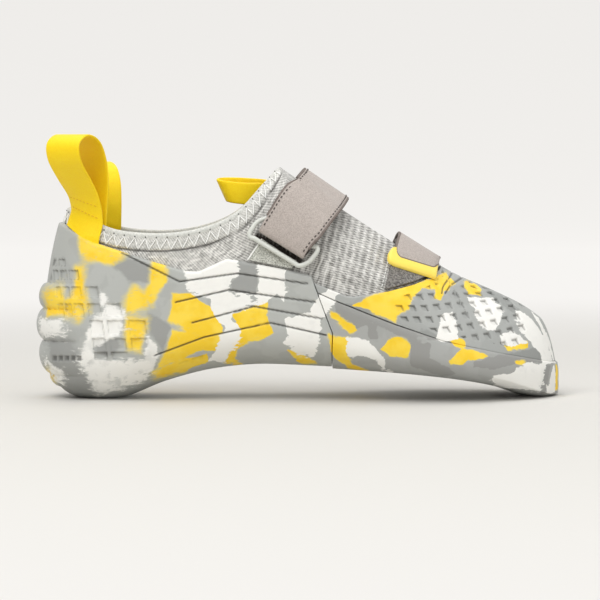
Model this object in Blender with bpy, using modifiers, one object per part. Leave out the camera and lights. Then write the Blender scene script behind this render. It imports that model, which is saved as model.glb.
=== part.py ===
"""Right-foot climbing shoe: knit bootie, rubber heel shell, toe patch and outsole, two closing straps.

Every piece is cut from one last. The last is a ring of columns. Each column starts on the line under the
foot, runs out to the widest line of the side and then up to the top line, which is the collar behind the
tongue and the ridge of the instep in front of it. +X is the toe, -Y the outer side, +Z up, floor at Z = 0.
"""

import math
from collections import namedtuple

import bmesh
import bpy
import numpy as np

MM = 0.001
# Middle of the finished shoe, in millimetres from the middle of the heel
BOX_MIDDLE = np.array((0.0, 2.5, 0.0))

# Wall thicknesses and clearances, in millimetres
KNIT = 1.8
CUFF_STEP = 0.6
CUFF_DEPTH = 8.0
CLEARANCE = 0.35
PATCH_CLEARANCE = 1.0
INSOLE_CLEARANCE = 2.4 * CLEARANCE
STRAP_CLEARANCE = 2.9 * CLEARANCE
WEBBING_CLEARANCE = 2.2 * CLEARANCE
HEEL_SIDE = 2.6
HEEL_UNDER = 5.2
ARCH_UNDER = 3.2
TOE_PATCH = 1.5
SOLE_SIDE = 3.0
SOLE_UNDER = 4.0
INSOLE = 2.0
STRAP = 1.5
RIBBON = 1.1
RING_WIRE = 2.3

# One row for each column of the last, heel to toe, in millimetres.
# side: the widest line, with its reach to the outer and the inner side of the foot.
# under: the line under the foot. top: collar or ridge, half is the collar's half width there.
# square: corner of the underside, 2 is round. lean: share of the way to the top line in X that is made
# early, as over the front of the toes; elsewhere the instep's X goes with its height.
Column = namedtuple(
    "Column",
    "side_x outer inner side_z under_x under_z top_x top_y half top_z square lean",
)
COLUMNS = (
    Column(-120.5, 0.0, 0.0, 34, -101, 4.6, -111.0, 0.0, 0.0, 92.6, 2.5, 0.0),
    Column(-117.0, 14.0, 14.0, 34, -99, 4.6, -107.5, 0.0, 11.5, 90.8, 2.5, 0.0),
    Column(-107.0, 24.0, 24.0, 33, -94, 4.6, -98.5, 0.0, 20.0, 86.5, 2.5, 0.0),
    Column(-92.0, 28.0, 28.0, 32, -84, 5.6, -86.0, 0.0, 24.5, 82.0, 2.5, 0.0),
    Column(-70.0, 28.5, 27.5, 33, -66, 12.0, -66.0, 0.0, 26.5, 80.5, 2.5, 0.0),
    Column(-46.0, 27.5, 25.0, 36, -44, 17.2, -47.0, 0.0, 26.0, 83.0, 2.5, 0.0),
    Column(-21.0, 28.0, 24.0, 37, -21, 19.8, -31.0, 0.0, 22.5, 90.0, 2.5, 0.0),
    Column(5.0, 31.0, 27.0, 35, 5, 19.2, -18.0, 0.0, 14.0, 103.0, 2.6, 0.0),
    Column(31.0, 36.0, 34.0, 31, 30, 18.0, -9.0, 0.0, 0.0, 111.5, 3.0, 0.0),
    Column(55.0, 38.5, 41.0, 26, 53, 16.4, 21.0, 2.5, 0.0, 91.0, 3.4, 0.0),
    Column(77.0, 35.5, 43.5, 21, 74, 14.0, 49.0, 5.0, 0.0, 73.0, 3.6, 0.0),
    Column(95.5, 27.0, 42.0, 17, 91, 10.6, 73.0, 8.0, 0.0, 58.5, 3.6, 0.0),
    Column(109.5, 15.0, 37.0, 14, 103, 6.7, 93.0, 10.5, 0.0, 49.5, 4.2, 0.2),
    Column(119.5, 1.0, 28.0, 12, 110, 4.1, 106.5, 12.5, 0.0, 42.8, 5.0, 0.5),
    Column(124.0, -14.0, 14.0, 12, 114, 3.5, 115.0, 14.0, 0.0, 37.0, 5.0, 0.6),
)
LAST = len(COLUMNS) - 1
ROUND = 2 * LAST
TONGUE = 8  # the column that ends at the middle of the tongue's top edge
CLOSING = 4.5  # columns from the heel to where the section starts to close over the instep
COLUMN_STEP = 0.5  # spacing of the solids' own columns
ROW_UNDER, ROW_SIDE, ROW_TOP = 0.0, 1.0, 2.0
LOWER_ROWS = np.array([0.66, 0.82])  # the bootie's turned-in lower edge
SIDE_ROWS = np.linspace(ROW_SIDE, ROW_TOP, 11)
CUFF_SHARES = np.array([0.12, 0.55, 1.0])  # rows of the cuff, as shares of its depth
INSOLE_ROWS = np.array([0, 0.25, 0.5, 0.74])
HEEL_TURN = 0.9  # row at which the heel's rubber has thinned from its underside to its side
ARCH_STEPS = (2.5, 5.0)  # columns between which the rubber underneath thins from heel to arch
SOLE_TURN = (0.5, 0.9)  # rows between which the outsole thins from its underside to its side
TOE_EDGE = (10.0, 12.5)  # columns between which the outsole's lower edge turns from round to sharp
PATCH_LEAST = 0.04  # height in rows of the toe patch where it runs out

# Edge lines of the rubber, as heights over X in the side view, in millimetres
Edge = namedtuple("Edge", "x z")
SHELL_EDGE = (
    Edge(-125, 88.0),
    Edge(-114.7, 85.5),
    Edge(-98, 76.0),
    Edge(-69.4, 66.8),
    Edge(-53.8, 62.4),
    Edge(-48.0, 62.2),
    Edge(-34.5, 68.2),
    Edge(-29.5, 67.4),
    Edge(-7.6, 63.4),
    Edge(4.0, 61.0),
    Edge(30.0, 51.0),
)
PATCH_EDGE = (
    Edge(5, 52.5),
    Edge(26, 50.5),
    Edge(42, 52.5),
    Edge(54, 55.0),
    Edge(62, 57.8),
    Edge(67.5, 61.0),
    Edge(69.5, 90.0),
)
PATCH_EDGE_INNER = (
    Edge(5, 52.5),
    Edge(26, 47.0),
    Edge(45, 43.5),
    Edge(58, 44.5),
    Edge(65, 50.0),
    Edge(67.5, 61.0),
    Edge(69.5, 90.0),
)
SOLE_EDGE = (
    Edge(5, 54.0),
    Edge(17.5, 48.5),
    Edge(46, 37.0),
    Edge(67.6, 29.0),
    Edge(94, 22.0),
    Edge(119, 16.6),
    Edge(128, 15.4),
)
SOLE_START = 7.44  # where along the ring of columns the outsole takes over from the heel shell
SEAM = 0.012  # half the gap between shell and outsole, as a share of a column step

# Ribs moulded round the back of the heel: lowest and highest edge and how far each stands out
Rib = namedtuple("Rib", "low high out")
HEEL_RIBS = (Rib(9, 14.0, 1.6), Rib(14.0, 28.5, 3.4), Rib(28.5, 43.4, 4.0), Rib(43.4, 55.4, 3.4))
RIB_REACH = 2.3  # columns from the back of the heel to where the ribs have faded out
RIB_FADE = 0.7  # power of the ribs' fading, lower is later
RIB_FULLNESS = 0.45  # power of a rib's section, lower is fuller

# A strap lies between two slanting planes. rise is the angle of its run in the side view, near and far
# are the distances of its edges from the origin across that run, in millimetres. The fold, where it
# turns back through its ring, and the free tip are heights at the near and the far edge. lift is how
# far it stands off its bed beyond the usual.
Strap = namedtuple("Strap", "rise near far lift fold tip")
Ends = namedtuple("Ends", "near far")
UPPER_STRAP = Strap(54.0, -62.5, -37.5, 0.5, Ends(81.0, 68.5), Ends(84.0, 76.0))
LOWER_STRAP = Strap(75.0, 25.0, 47.0, 0.0, Ends(62.5, 54.5), Ends(66.8, 59.5))
STRAP_GAP = 1.2  # from the anchored end of a strap to the rubber edge that holds it
RING_BAR_UP = 5.2  # ring's upper bar above the fold, inside it
RING_BAR_DOWN = 3.6  # ring's lower bar below the fold
RING_SIDE = 3.3  # ring's side bars beyond the strap's edges
RING_CORNER = 1.2  # where its upper and lower bars start to turn, beyond the strap's edges
RING_HEIGHT = 4.5  # middle of the ring over the last
WEBBING = 1.0
WEBBING_INSET = 2.5  # the webbing is this much narrower than the strap at either edge
WEBBING_TURN = 2.3  # how far above the ring's lower bar the webbing hooks over it and ends
TAB_START = 1.2  # yellow pull tab's upper and lower end, below the strap's tip
TAB_END = 3.6
TAB_LIP = 3.0  # how far the tab reaches beyond the strap's near edge, and up along that edge
TAB_LOW, TAB_HIGH = 3.0, 5.2  # underside and top of the pull tab over the last

# Pull loops: ribbon widths, and the loop's profile as distance out from the collar edge and height over it
HEEL_RIBBON = 19.0
HEEL_LOOP_COLUMN = 1.75
RIBBON_FREE = 22.0  # height over the collar edge at which the ribbon no longer follows the collar's curve
Turn = namedtuple("Turn", "out up")
HEEL_LOOP = (
    Turn(2.1, -7.0),
    Turn(2.1, -1.0),
    Turn(4.2, 8.0),
    Turn(11.0, 18.0),
    Turn(19.0, 27.5),
    Turn(20.0, 35.3),
    Turn(12.5, 39.3),
    Turn(3.0, 36.0),
    Turn(-2.4, 26.5),
    Turn(-4.0, 14.0),
    Turn(-3.4, 3.0),
    Turn(-3.0, -3.0),
    Turn(-3.0, -9.0),
)
# The inner loop has sunk lower and sits a little further forward
INNER_LOOP_COLUMN = 2.1
INNER_LOOP_DROP = 0.7
TONGUE_RIBBON = 10.8
TONGUE_TILT = 0.45  # slope of the loop's back end, lower edge forward
Bend = namedtuple("Bend", "x y z")
TONGUE_LOOP = (
    Bend(0.8, -2.6, 96.0),
    Bend(-13, -4.0, 98.4),
    Bend(-25, -5.6, 98.8),
    Bend(-34, -4.6, 99.7),
    Bend(-37.3, 0, 100.6),
    Bend(-34, 4.6, 101.2),
    Bend(-25, 5.6, 101.0),
    Bend(-13, 4.0, 99.8),
    Bend(0.8, 2.6, 96.0),
)


def spline(rows, at, closed):
    """Smooth curve through rows at whole numbers, read at any numbers."""
    rows = np.asarray(rows, float)
    at = np.asarray(at, float)
    count = len(rows)
    if not closed:
        rows = np.vstack([2 * rows[0] - rows[1], rows, 2 * rows[-1] - rows[-2]])
        at = np.clip(at, 0, count - 1 - 1e-9) + 1
    start = np.floor(at).astype(int)
    part = (at - start)[..., None]
    pick = [(start + step) % len(rows) if closed else start + step for step in (-1, 0, 1, 2)]
    before, here, after, beyond = (rows[np.clip(i, 0, len(rows) - 1)] for i in pick)
    return 0.5 * (
        2 * here
        + (after - before) * part
        + (2 * before - 5 * here + 4 * after - beyond) * part**2
        + (3 * here - before - 3 * after + beyond) * part**3
    )


def ring_rows(pick):
    """Rows for the closed ring: outer side heel to toe, then inner side back to the heel."""
    outer = [pick(c, -1) for c in COLUMNS]
    inner = [pick(c, 1) for c in COLUMNS[-2:0:-1]]
    return outer + inner


SIDE_RING = ring_rows(lambda c, s: (c.side_x, c.inner if s > 0 else -c.outer, c.side_z))
COLLAR_RING = [(c.top_x, -c.half, c.top_z) for c in COLUMNS[: TONGUE + 1]]
COLLAR_RING += [(c.top_x, c.half, c.top_z) for c in COLUMNS[TONGUE - 1 : 0 : -1]]
RIDGE = [(c.top_x, c.top_y, c.top_z) for c in COLUMNS[TONGUE:]]
UNDER = [(c.under_x, c.top_y, c.under_z) for c in COLUMNS]
CORNERS = [(c.square, c.lean) for c in COLUMNS]


def smooth_step(value):
    """0 below 0, 1 above 1, and an even curve between."""
    value = np.clip(value, 0, 1)
    return value * value * (3 - 2 * value)


def steps_from_heel(column):
    """Columns between the back of the heel and this one, on either side."""
    column = np.mod(column, ROUND)
    return np.minimum(column, ROUND - column)


def top_line(column):
    """Collar behind the tongue, ridge of the instep in front of it."""
    steps = steps_from_heel(column)
    around = np.where(np.mod(column, ROUND) <= LAST, steps, 2 * TONGUE - steps)
    collar = spline(COLLAR_RING, np.clip(around, 0, 2 * TONGUE), True)
    ridge = spline(RIDGE, np.maximum(steps - TONGUE, 0), False)
    return np.where((steps < TONGUE)[..., None], collar, ridge)


def last_point(column, row):
    """Point on the last. row runs from 0 under the foot over 1 at the side to 2 at the top."""
    column, row = np.broadcast_arrays(np.asarray(column, float), np.asarray(row, float))
    steps = steps_from_heel(column)
    side = spline(SIDE_RING, np.mod(column, ROUND), True)
    under = spline(UNDER, steps, False)
    top = top_line(column)
    square, lean = np.moveaxis(spline(CORNERS, steps, False), -1, 0)
    turn = np.clip(row, 0, 1) * math.pi / 2
    out = np.sin(turn) ** (2 / square)
    lift = 1 - np.cos(turn) ** (2 / square)
    climb = np.clip(row - 1, 0, 1)
    turn = climb * math.pi / 2
    closing = smooth_step((steps - CLOSING) / (TONGUE - CLOSING))
    early, late = 1 - np.cos(turn), np.sin(turn)
    forward = (1 - closing) * climb**2 + closing * (lean * early + (1 - lean) * late)
    inward = (1 - closing) * climb**2 + closing * early
    upward = (1 - closing) * climb + closing * late
    reach = np.stack([out, out, lift], -1)
    rise = np.stack([forward, inward, upward], -1)
    low = under + (side - under) * reach
    high = side + (top - side) * rise
    return np.where((row < ROW_SIDE)[..., None], low, high)


def slope_normal(column, row):
    """Outward normal of the last from small steps along the column and across it."""
    row = np.clip(row, ROW_UNDER + 0.06, ROW_TOP - 0.04)
    step = 0.02
    along = last_point(column, row + step) - last_point(column, row - step)
    across = last_point(column + step, row) - last_point(column - step, row)
    normal = np.cross(across, along)
    return normal / np.linalg.norm(normal, axis=-1, keepdims=True)


def last_normal(column, row):
    """Outward normal, the same from both sides on the lines where the two sides meet."""
    column, row = np.broadcast_arrays(np.asarray(column, float), np.asarray(row, float))
    normal = slope_normal(column, row)
    meets = (row <= ROW_UNDER) | ((row >= ROW_TOP) & (steps_from_heel(column) >= TONGUE))
    both = normal + slope_normal(ROUND - column, row)
    both = both / np.linalg.norm(both, axis=-1, keepdims=True)
    return np.where(meets[..., None], both, normal)


def off_last(column, row, distance):
    """Point at a distance outside the last."""
    return last_point(column, row) + last_normal(column, row) * np.asarray(distance)[..., None]


def edge_height(edges, x):
    return np.interp(x, [e.x for e in edges], [e.z for e in edges])


def row_at(column, edges, inner_edges=None, low=0.5, high=ROW_TOP):
    """Row where each column meets an edge line of the side view, or the top where it stays below."""
    column = np.asarray(column, float)
    inner_side = np.mod(column, ROUND) > LAST
    low = np.full(column.shape, low)
    high = np.full(column.shape, high)
    for _ in range(30):
        middle = (low + high) / 2
        point = last_point(column, middle)
        level = edge_height(edges, point[..., 0])
        inner_level = edge_height(inner_edges or edges, point[..., 0])
        above = point[..., 2] > np.where(inner_side, inner_level, level)
        high = np.where(above, middle, high)
        low = np.where(above, low, middle)
    return high


def metres(points):
    """Millimetres from the heel's middle line to metres from the middle of the finished shoe."""
    return (points - BOX_MIDDLE) * MM


def new_object(name, mesh, colour, roughness):
    """Object in the shoe's collection with its own material."""
    obj = bpy.data.objects.new(name, mesh)
    material = bpy.data.materials.new(name)
    material.use_nodes = True
    shader = material.node_tree.nodes["Principled BSDF"]
    shader.inputs["Base Color"].default_value = (*colour, 1)
    shader.inputs["Roughness"].default_value = roughness
    shader.inputs["Metallic"].default_value = 0
    mesh.materials.append(material)
    bpy.data.collections["climbing_shoe"].objects.link(obj)
    return obj


def grid_surface(grid, partners, closed):
    """Open quad surface over a grid of points, with a layer that holds each point's partner."""
    bm = bmesh.new()
    partner = bm.verts.layers.float_vector.new("partner")
    columns, rows = grid.shape[:2]
    grid, partners = metres(grid), metres(partners)
    verts = [[bm.verts.new(grid[i, j]) for j in range(rows)] for i in range(columns)]
    for i in range(columns):
        for j in range(rows):
            verts[i][j][partner] = partners[i, j]
    for i in range(columns if closed else columns - 1):
        after = (i + 1) % columns
        for j in range(rows - 1):
            bm.faces.new((verts[i][j], verts[after][j], verts[after][j + 1], verts[i][j + 1]))
    return bm, partner


def wall(name, inside, outside, closed, colour, roughness):
    """Solid between two surfaces on the same grid. Points that meet on a centre line are joined."""
    bm, partner = grid_surface(inside, outside, closed)
    bmesh.ops.remove_doubles(bm, verts=bm.verts, dist=1e-6)
    rim = [edge for edge in bm.edges if edge.is_boundary]
    originals = bm.verts[:]
    copies = bmesh.ops.duplicate(bm, geom=originals + bm.edges[:] + bm.faces[:])["vert_map"]
    for vert in originals:
        copies[vert].co = vert[partner]
    for edge in rim:
        first, second = edge.verts
        bm.faces.new((first, second, copies[second], copies[first]))
    return finish_mesh(name, bm, colour, roughness)


def finish_mesh(name, bm, colour, roughness):
    bmesh.ops.recalc_face_normals(bm, faces=bm.faces)
    if bm.calc_volume(signed=True) < 0:
        bmesh.ops.reverse_faces(bm, faces=bm.faces)
    mesh = bpy.data.meshes.new(name)
    bm.to_mesh(mesh)
    bm.free()
    mesh.shade_smooth()
    mesh.set_sharp_from_angle(angle=math.radians(40))
    return new_object(name, mesh, colour, roughness)


def band(name, grid, thickness, colour, roughness):
    """Strip of cloth or webbing: an open surface with Solidify, centred on the grid."""
    bm, _ = grid_surface(grid, grid, False)
    obj = finish_mesh(name, bm, colour, roughness)
    thicken = obj.modifiers.new("thickness", "SOLIDIFY")
    thicken.thickness = thickness * MM
    thicken.offset = 0
    thicken.use_even_offset = True
    return obj


def lattice(columns, rows):
    """Column and row numbers of a grid; rows may differ from column to column."""
    rows = np.asarray(rows, float)
    if rows.ndim == 1:
        rows = np.broadcast_to(rows, (len(columns), len(rows)))
    return np.broadcast_to(np.asarray(columns, float)[:, None], rows.shape), rows


GREY_KNIT = (0.42, 0.42, 0.41)
GREY_RUBBER = (0.36, 0.37, 0.37)
YELLOW = (0.86, 0.66, 0.03)
TAUPE = (0.35, 0.31, 0.29)
PALE_PLASTIC = (0.55, 0.56, 0.53)


def upper():
    """Knit bootie, hollow, open at the collar and under the foot, with a thicker cuff along the collar."""
    by_tongue = TONGUE - COLUMN_STEP * np.array([1.5, 0.5])
    columns = np.sort(np.concatenate([np.arange(0, ROUND, COLUMN_STEP), by_tongue, ROUND - by_tongue]))
    length = np.linalg.norm(last_point(columns, ROW_TOP) - last_point(columns, ROW_SIDE), axis=-1)
    cuff = (ROW_TOP - CUFF_DEPTH / length)[:, None]
    behind_tongue = (steps_from_heel(columns) < TONGUE - COLUMN_STEP)[:, None]
    cuff_count = len(CUFF_SHARES)
    below_cuff = ROW_SIDE + np.linspace(0, 1, len(SIDE_ROWS) - cuff_count) * (cuff - ROW_SIDE)
    in_cuff = cuff + CUFF_SHARES * (ROW_TOP - cuff)
    lower = np.broadcast_to(LOWER_ROWS, (len(columns), len(LOWER_ROWS)))
    rows = np.hstack([lower, np.where(behind_tongue, np.hstack([below_cuff, in_cuff]), SIDE_ROWS)])
    grid = lattice(columns, rows)
    step = np.zeros(rows.shape)
    step[:, -cuff_count:] = CUFF_STEP * behind_tongue
    outside = off_last(*grid, step)
    inside = off_last(*grid, np.full(rows.shape, -KNIT))
    return wall("upper", inside, outside, True, GREY_KNIT, 0.9)


def insole():
    """Thin footbed inside the bootie, resting on its turned-in lower edge."""
    columns = np.arange(0, ROUND, 1.0)
    grid = lattice(columns, INSOLE_ROWS)
    below = np.full(grid[1].shape, -KNIT - INSOLE_CLEARANCE)
    return wall("insole", off_last(*grid, below - INSOLE), off_last(*grid, below), True, GREY_KNIT, 0.8)


def heel_thickness(column, row, z):
    """Rubber over the heel and arch: thick under the heel, with ribs round its back."""
    steps = steps_from_heel(column)
    under = np.interp(steps, ARCH_STEPS, (HEEL_UNDER, ARCH_UNDER))
    low = np.clip(1 - row / HEEL_TURN, 0, 1)
    thickness = HEEL_SIDE + (under - HEEL_SIDE) * low
    fade = np.cos(np.clip(steps / RIB_REACH, 0, 1) * math.pi / 2) ** RIB_FADE
    for rib in HEEL_RIBS:
        across = np.clip((z - rib.low) / (rib.high - rib.low), 0, 1)
        thickness = thickness + fade * rib.out * np.sin(across * math.pi) ** RIB_FULLNESS
    return thickness


def on_floor(points):
    """Flattens whatever would reach below the floor."""
    points[..., 2] = np.maximum(points[..., 2], 0)
    return points


def heel_shell():
    """Moulded heel cup and arch band in one piece, closed underneath, open to the front."""
    end = SOLE_START - SEAM
    whole = math.floor(SOLE_START)
    columns = np.concatenate([[-end], np.arange(-whole, whole + COLUMN_STEP, COLUMN_STEP), [end]])
    rows = np.linspace(0, 1, 20) * row_at(columns, SHELL_EDGE)[:, None]
    grid = lattice(columns, rows)
    inside = off_last(*grid, np.full(rows.shape, CLEARANCE))
    height = last_point(*grid)[..., 2]
    outside = on_floor(off_last(*grid, CLEARANCE + heel_thickness(*grid, height)))
    return wall("heel_shell", inside, outside, False, GREY_RUBBER, 0.55)


def front_columns(step):
    """Columns of the forefoot, from the heel shell's end round the toe and back to it."""
    start = SOLE_START + SEAM
    whole = np.arange(TONGUE, ROUND - TONGUE + step / 2, step)
    return np.concatenate([[start], whole, [ROUND - start]])


def squared(column, row):
    """Factor that carries the outsole's thickness out to a sharp lower edge round the toe."""
    normal = np.abs(last_normal(column, row))
    level = np.hypot(normal[..., 0], normal[..., 1])
    front = smooth_step((steps_from_heel(column) - TOE_EDGE[0]) / (TOE_EDGE[1] - TOE_EDGE[0]))
    return 1 + front * (1 / np.maximum(level, normal[..., 2]) - 1)


def outsole():
    """Forefoot sole: a cup that turns up the sides to its own edge line, flat where it meets the floor."""
    columns = front_columns(COLUMN_STEP)
    rows = np.linspace(0, 1, 12) * row_at(columns, SOLE_EDGE)[:, None]
    grid = lattice(columns, rows)
    inside = off_last(*grid, np.full(rows.shape, CLEARANCE))
    thickness = np.interp(rows, SOLE_TURN, (SOLE_UNDER, SOLE_SIDE)) * squared(*grid)
    outside = on_floor(off_last(*grid, CLEARANCE + thickness))
    return wall("outsole", inside, outside, False, GREY_RUBBER, 0.55)


def toe_patch():
    """Thin rubber over the toes, from the outsole's edge up to its own edge behind the knuckles."""
    columns = front_columns(COLUMN_STEP / 2)
    low = row_at(columns, SOLE_EDGE)[:, None] + SEAM
    high = np.maximum(row_at(columns, PATCH_EDGE, PATCH_EDGE_INNER)[:, None], low + PATCH_LEAST)
    rows = np.clip(SIDE_ROWS, low, high)
    grid = lattice(columns, rows)
    inside = off_last(*grid, np.full(rows.shape, PATCH_CLEARANCE))
    outside = off_last(*grid, np.full(rows.shape, PATCH_CLEARANCE + TOE_PATCH))
    return wall("toe_patch", inside, outside, False, GREY_RUBBER, 0.55)


def across_strap(strap, point):
    rise = math.radians(strap.rise)
    return point[..., 0] * math.sin(rise) - point[..., 2] * math.cos(rise)


def strap_column(strap, across, row, inner_side):
    """Column where a line across the strap meets a row of the last."""
    across, row = np.broadcast_arrays(np.asarray(across, float), np.asarray(row, float))
    low = np.full(across.shape, 3.0)
    high = np.full(across.shape, float(LAST))
    for _ in range(30):
        middle = (low + high) / 2
        column = np.where(inner_side, ROUND - middle, middle)
        beyond = across_strap(strap, last_point(column, row)) > across
        high = np.where(beyond, middle, high)
        low = np.where(beyond, low, middle)
    return np.where(inner_side, ROUND - high, high)


def strap_point(strap, across, along, height):
    """Point over the strap's bed. along is 0 on the ridge and negative down the outer side."""
    across, along, height = np.broadcast_arrays(across, along, height)
    row = ROW_TOP - np.abs(along)
    return off_last(strap_column(strap, across, row, along > 0), row, height + strap.lift)


def along_to(strap, across, side, level):
    """How far down one side a line across the strap reaches a level, a function of X."""
    low = np.zeros(across.shape)
    high = np.ones(across.shape)
    for _ in range(30):
        middle = (low + high) / 2
        point = strap_point(strap, across, side * middle, 0.0)
        above = point[..., 2] > level(point[..., 0])
        low = np.where(above, middle, low)
        high = np.where(above, high, middle)
    return side * low


def slanting(strap, across, ends, shift=0.0):
    """Level that runs straight from one edge of the strap to the other."""
    height = np.interp(across, [strap.near, strap.far], ends) + shift
    return lambda x: height


def folded_strap(name, strap, across, route, ends, thickness, colour):
    """Strap through the places of a route, smooth from one to the next."""
    along = np.stack([ends[place.end] * place.share for place in route], -1)
    height = np.broadcast_to([place.height for place in route], along.shape)
    places = np.linspace(0, len(route) - 1, 2 * len(route) - 1)
    smooth = np.stack([spline(edge, places, False) for edge in np.stack([along, height], -1)])
    points = strap_point(strap, across[:, None], smooth[..., 0], smooth[..., 1])
    return band(name, points, thickness, colour, 0.8)


# Heights of a strap's two layers over the last, with the ring's bar between them at the fold
LAYER_GAP = 0.6
FOLD_GAP = 1.0  # between the ring's bar and the strap over it
BAR_GAP = 0.9  # between the ring's lower bar and the webbing under it
LAYER_LOW = STRAP_CLEARANCE + STRAP / 2
LAYER_FOLD = RING_HEIGHT + RING_WIRE / 2 + FOLD_GAP + STRAP / 2
LAYER_TOP = LAYER_LOW + STRAP + LAYER_GAP
RIDGE_BULGE = 1.6  # how much higher the strap's outer layer stands where it bends over the ridge
# Places along a strap or webbing: a share of the way from the ridge to one of its ends, and a height there
Place = namedtuple("Place", "end share height")
STRAP_ROUTE = (
    Place("anchor", 1.0, LAYER_LOW),
    Place("anchor", 0.8, LAYER_LOW),
    Place("anchor", 0.6, LAYER_LOW),
    Place("anchor", 0.4, LAYER_LOW),
    Place("anchor", 0.2, LAYER_LOW),
    Place("fold", 0.0, LAYER_LOW),
    Place("fold", 0.35, LAYER_LOW),
    Place("fold", 0.65, LAYER_LOW),
    Place("fold", 0.92, LAYER_LOW + 0.1),
    Place("fold", 0.985, RING_HEIGHT - 1.2),
    Place("fold", 1.0, RING_HEIGHT + 0.6),
    Place("fold", 0.98, LAYER_FOLD - 0.5),
    Place("fold", 0.9, LAYER_FOLD),
    Place("fold", 0.6, LAYER_FOLD),
    Place("fold", 0.4, LAYER_TOP + 1.2),
    Place("fold", 0.2, LAYER_TOP + RIDGE_BULGE),
    Place("fold", 0.0, LAYER_TOP + RIDGE_BULGE),
    Place("tip", 0.35, LAYER_TOP + RIDGE_BULGE),
    Place("tip", 0.7, LAYER_TOP + 0.5 * RIDGE_BULGE),
    Place("tip", 1.0, LAYER_TOP + 0.2),
)
TAB_ROUTE = (
    Place("anchor", 1.0, WEBBING_CLEARANCE + WEBBING / 2),
    Place("bar", 1.0, RING_HEIGHT - RING_WIRE / 2 - BAR_GAP - WEBBING / 2),
    Place("turn", 1.0, RING_HEIGHT),
)


def rubber_level(edges):
    """Level just above an edge of the rubber."""
    return lambda x: edge_height(edges, x) + STRAP_GAP


def strap_and_ring(prefix, strap, side, strap_edges, ring_edges):
    """Strap, its ring and the webbing that holds the ring. side is the ring's: -1 outer, 1 inner."""
    across = np.linspace(strap.near, strap.far, 6)
    ends = {
        "fold": along_to(strap, across, side, slanting(strap, across, strap.fold)),
        "anchor": along_to(strap, across, -side, rubber_level(strap_edges)),
        "tip": along_to(strap, across, -side, slanting(strap, across, strap.tip)),
    }
    folded_strap(prefix + "_strap", strap, across, STRAP_ROUTE, ends, STRAP, TAUPE)
    wire_ring(prefix + "_ring", ring_loop(strap, side), RING_WIRE)
    across = np.linspace(strap.near + WEBBING_INSET, strap.far - WEBBING_INSET, 4)
    turn = WEBBING_TURN - RING_BAR_DOWN
    ends = {
        "bar": along_to(strap, across, side, slanting(strap, across, strap.fold, -RING_BAR_DOWN)),
        "turn": along_to(strap, across, side, slanting(strap, across, strap.fold, turn)),
        "anchor": along_to(strap, across, side, rubber_level(ring_edges)),
    }
    folded_strap(prefix + "_ring_tab", strap, across, TAB_ROUTE, ends, WEBBING, GREY_KNIT)


def ring_loop(strap, side):
    """Points round a strap's ring: upper bar, far side, lower bar back, near side."""
    bar = np.linspace(strap.near - RING_CORNER, strap.far + RING_CORNER, 5)
    wide = np.concatenate([[strap.near - RING_SIDE], bar, [strap.far + RING_SIDE]])
    upper_bar, lower_bar = (
        along_to(strap, wide, side, slanting(strap, wide, strap.fold, shift))
        for shift in (RING_BAR_UP, -RING_BAR_DOWN)
    )
    # Lines across the strap at shares of the way from the upper bar to the lower one
    top, high, low, bottom = (
        strap_point(strap, wide, upper_bar + (lower_bar - upper_bar) * share, RING_HEIGHT)
        for share in (0.0, 0.3, 0.7, 1.0)
    )
    return np.vstack([top[1:-1], high[-1], low[-1], bottom[-2:0:-1], low[0], high[0]])


def wire_ring(name, points, diameter):
    """Closed ring of round wire through points."""
    curve = bpy.data.curves.new(name, "CURVE")
    curve.dimensions = "3D"
    curve.bevel_depth = diameter / 2 * MM
    curve.bevel_resolution = 2
    path = curve.splines.new("POLY")
    path.points.add(len(points) - 1)
    for point, place in zip(path.points, metres(points)):
        point.co = (*place, 1)
    path.use_cyclic_u = True
    return new_object(name, curve, PALE_PLASTIC, 0.4)


def pull_tab():
    """Yellow tab that continues the lower strap's free tip."""
    strap = LOWER_STRAP
    lip = strap.near - TAB_LIP * np.array([1.0, 0.35])
    across = np.concatenate([lip, np.linspace(strap.near, strap.far, 5)])
    rise = np.where(across < strap.near, TAB_LIP, -TAB_START)
    start = along_to(strap, across, -1, slanting(strap, across, strap.tip, rise))
    end = along_to(strap, across, -1, slanting(strap, across, strap.tip, -TAB_END))
    along = start[:, None] + np.linspace(0, 1, 4) * (end - start)[:, None]
    low = strap_point(strap, across[:, None], along, TAB_LOW)
    high = strap_point(strap, across[:, None], along, TAB_HIGH)
    return wall("pull_tab", low, high, False, YELLOW, 0.6)


def heel_loop(name, column, drop):
    """Ribbon loop astride the collar edge, its legs flat against both sides of the bootie's wall."""
    profile = spline(HEEL_LOOP, np.linspace(0, len(HEEL_LOOP) - 1, 21), False)
    out, up = profile[None, :, 0], profile[None, :, 1]
    up = np.where(up > 0, up * drop, up)
    edge = last_point(column, ROW_TOP)
    facing = last_normal(column, ROW_TOP) * (1, 1, 0)
    facing = facing / np.linalg.norm(facing)
    upright = np.array((0, 0, 1))
    sideways = np.cross(facing, upright)
    shift = np.linspace(-0.5, 0.5, 3)[:, None] * HEEL_RIBBON
    step = 0.1
    run = last_point(column + step, ROW_TOP) - last_point(column - step, ROW_TOP)
    columns = column + shift * 2 * step / np.dot(run, sideways) + 0 * up
    length = np.linalg.norm(last_point(column, ROW_TOP) - last_point(column, ROW_SIDE))
    leg = off_last(columns, ROW_TOP + np.minimum(up, 0) / length, out)
    leg += np.maximum(up, 0)[..., None] * upright
    free = edge + shift[..., None] * sideways + out[..., None] * facing + up[..., None] * upright
    share = smooth_step(up / RIBBON_FREE)[..., None]
    return band(name, leg + (free - leg) * share, RIBBON, YELLOW, 0.5)


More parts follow.
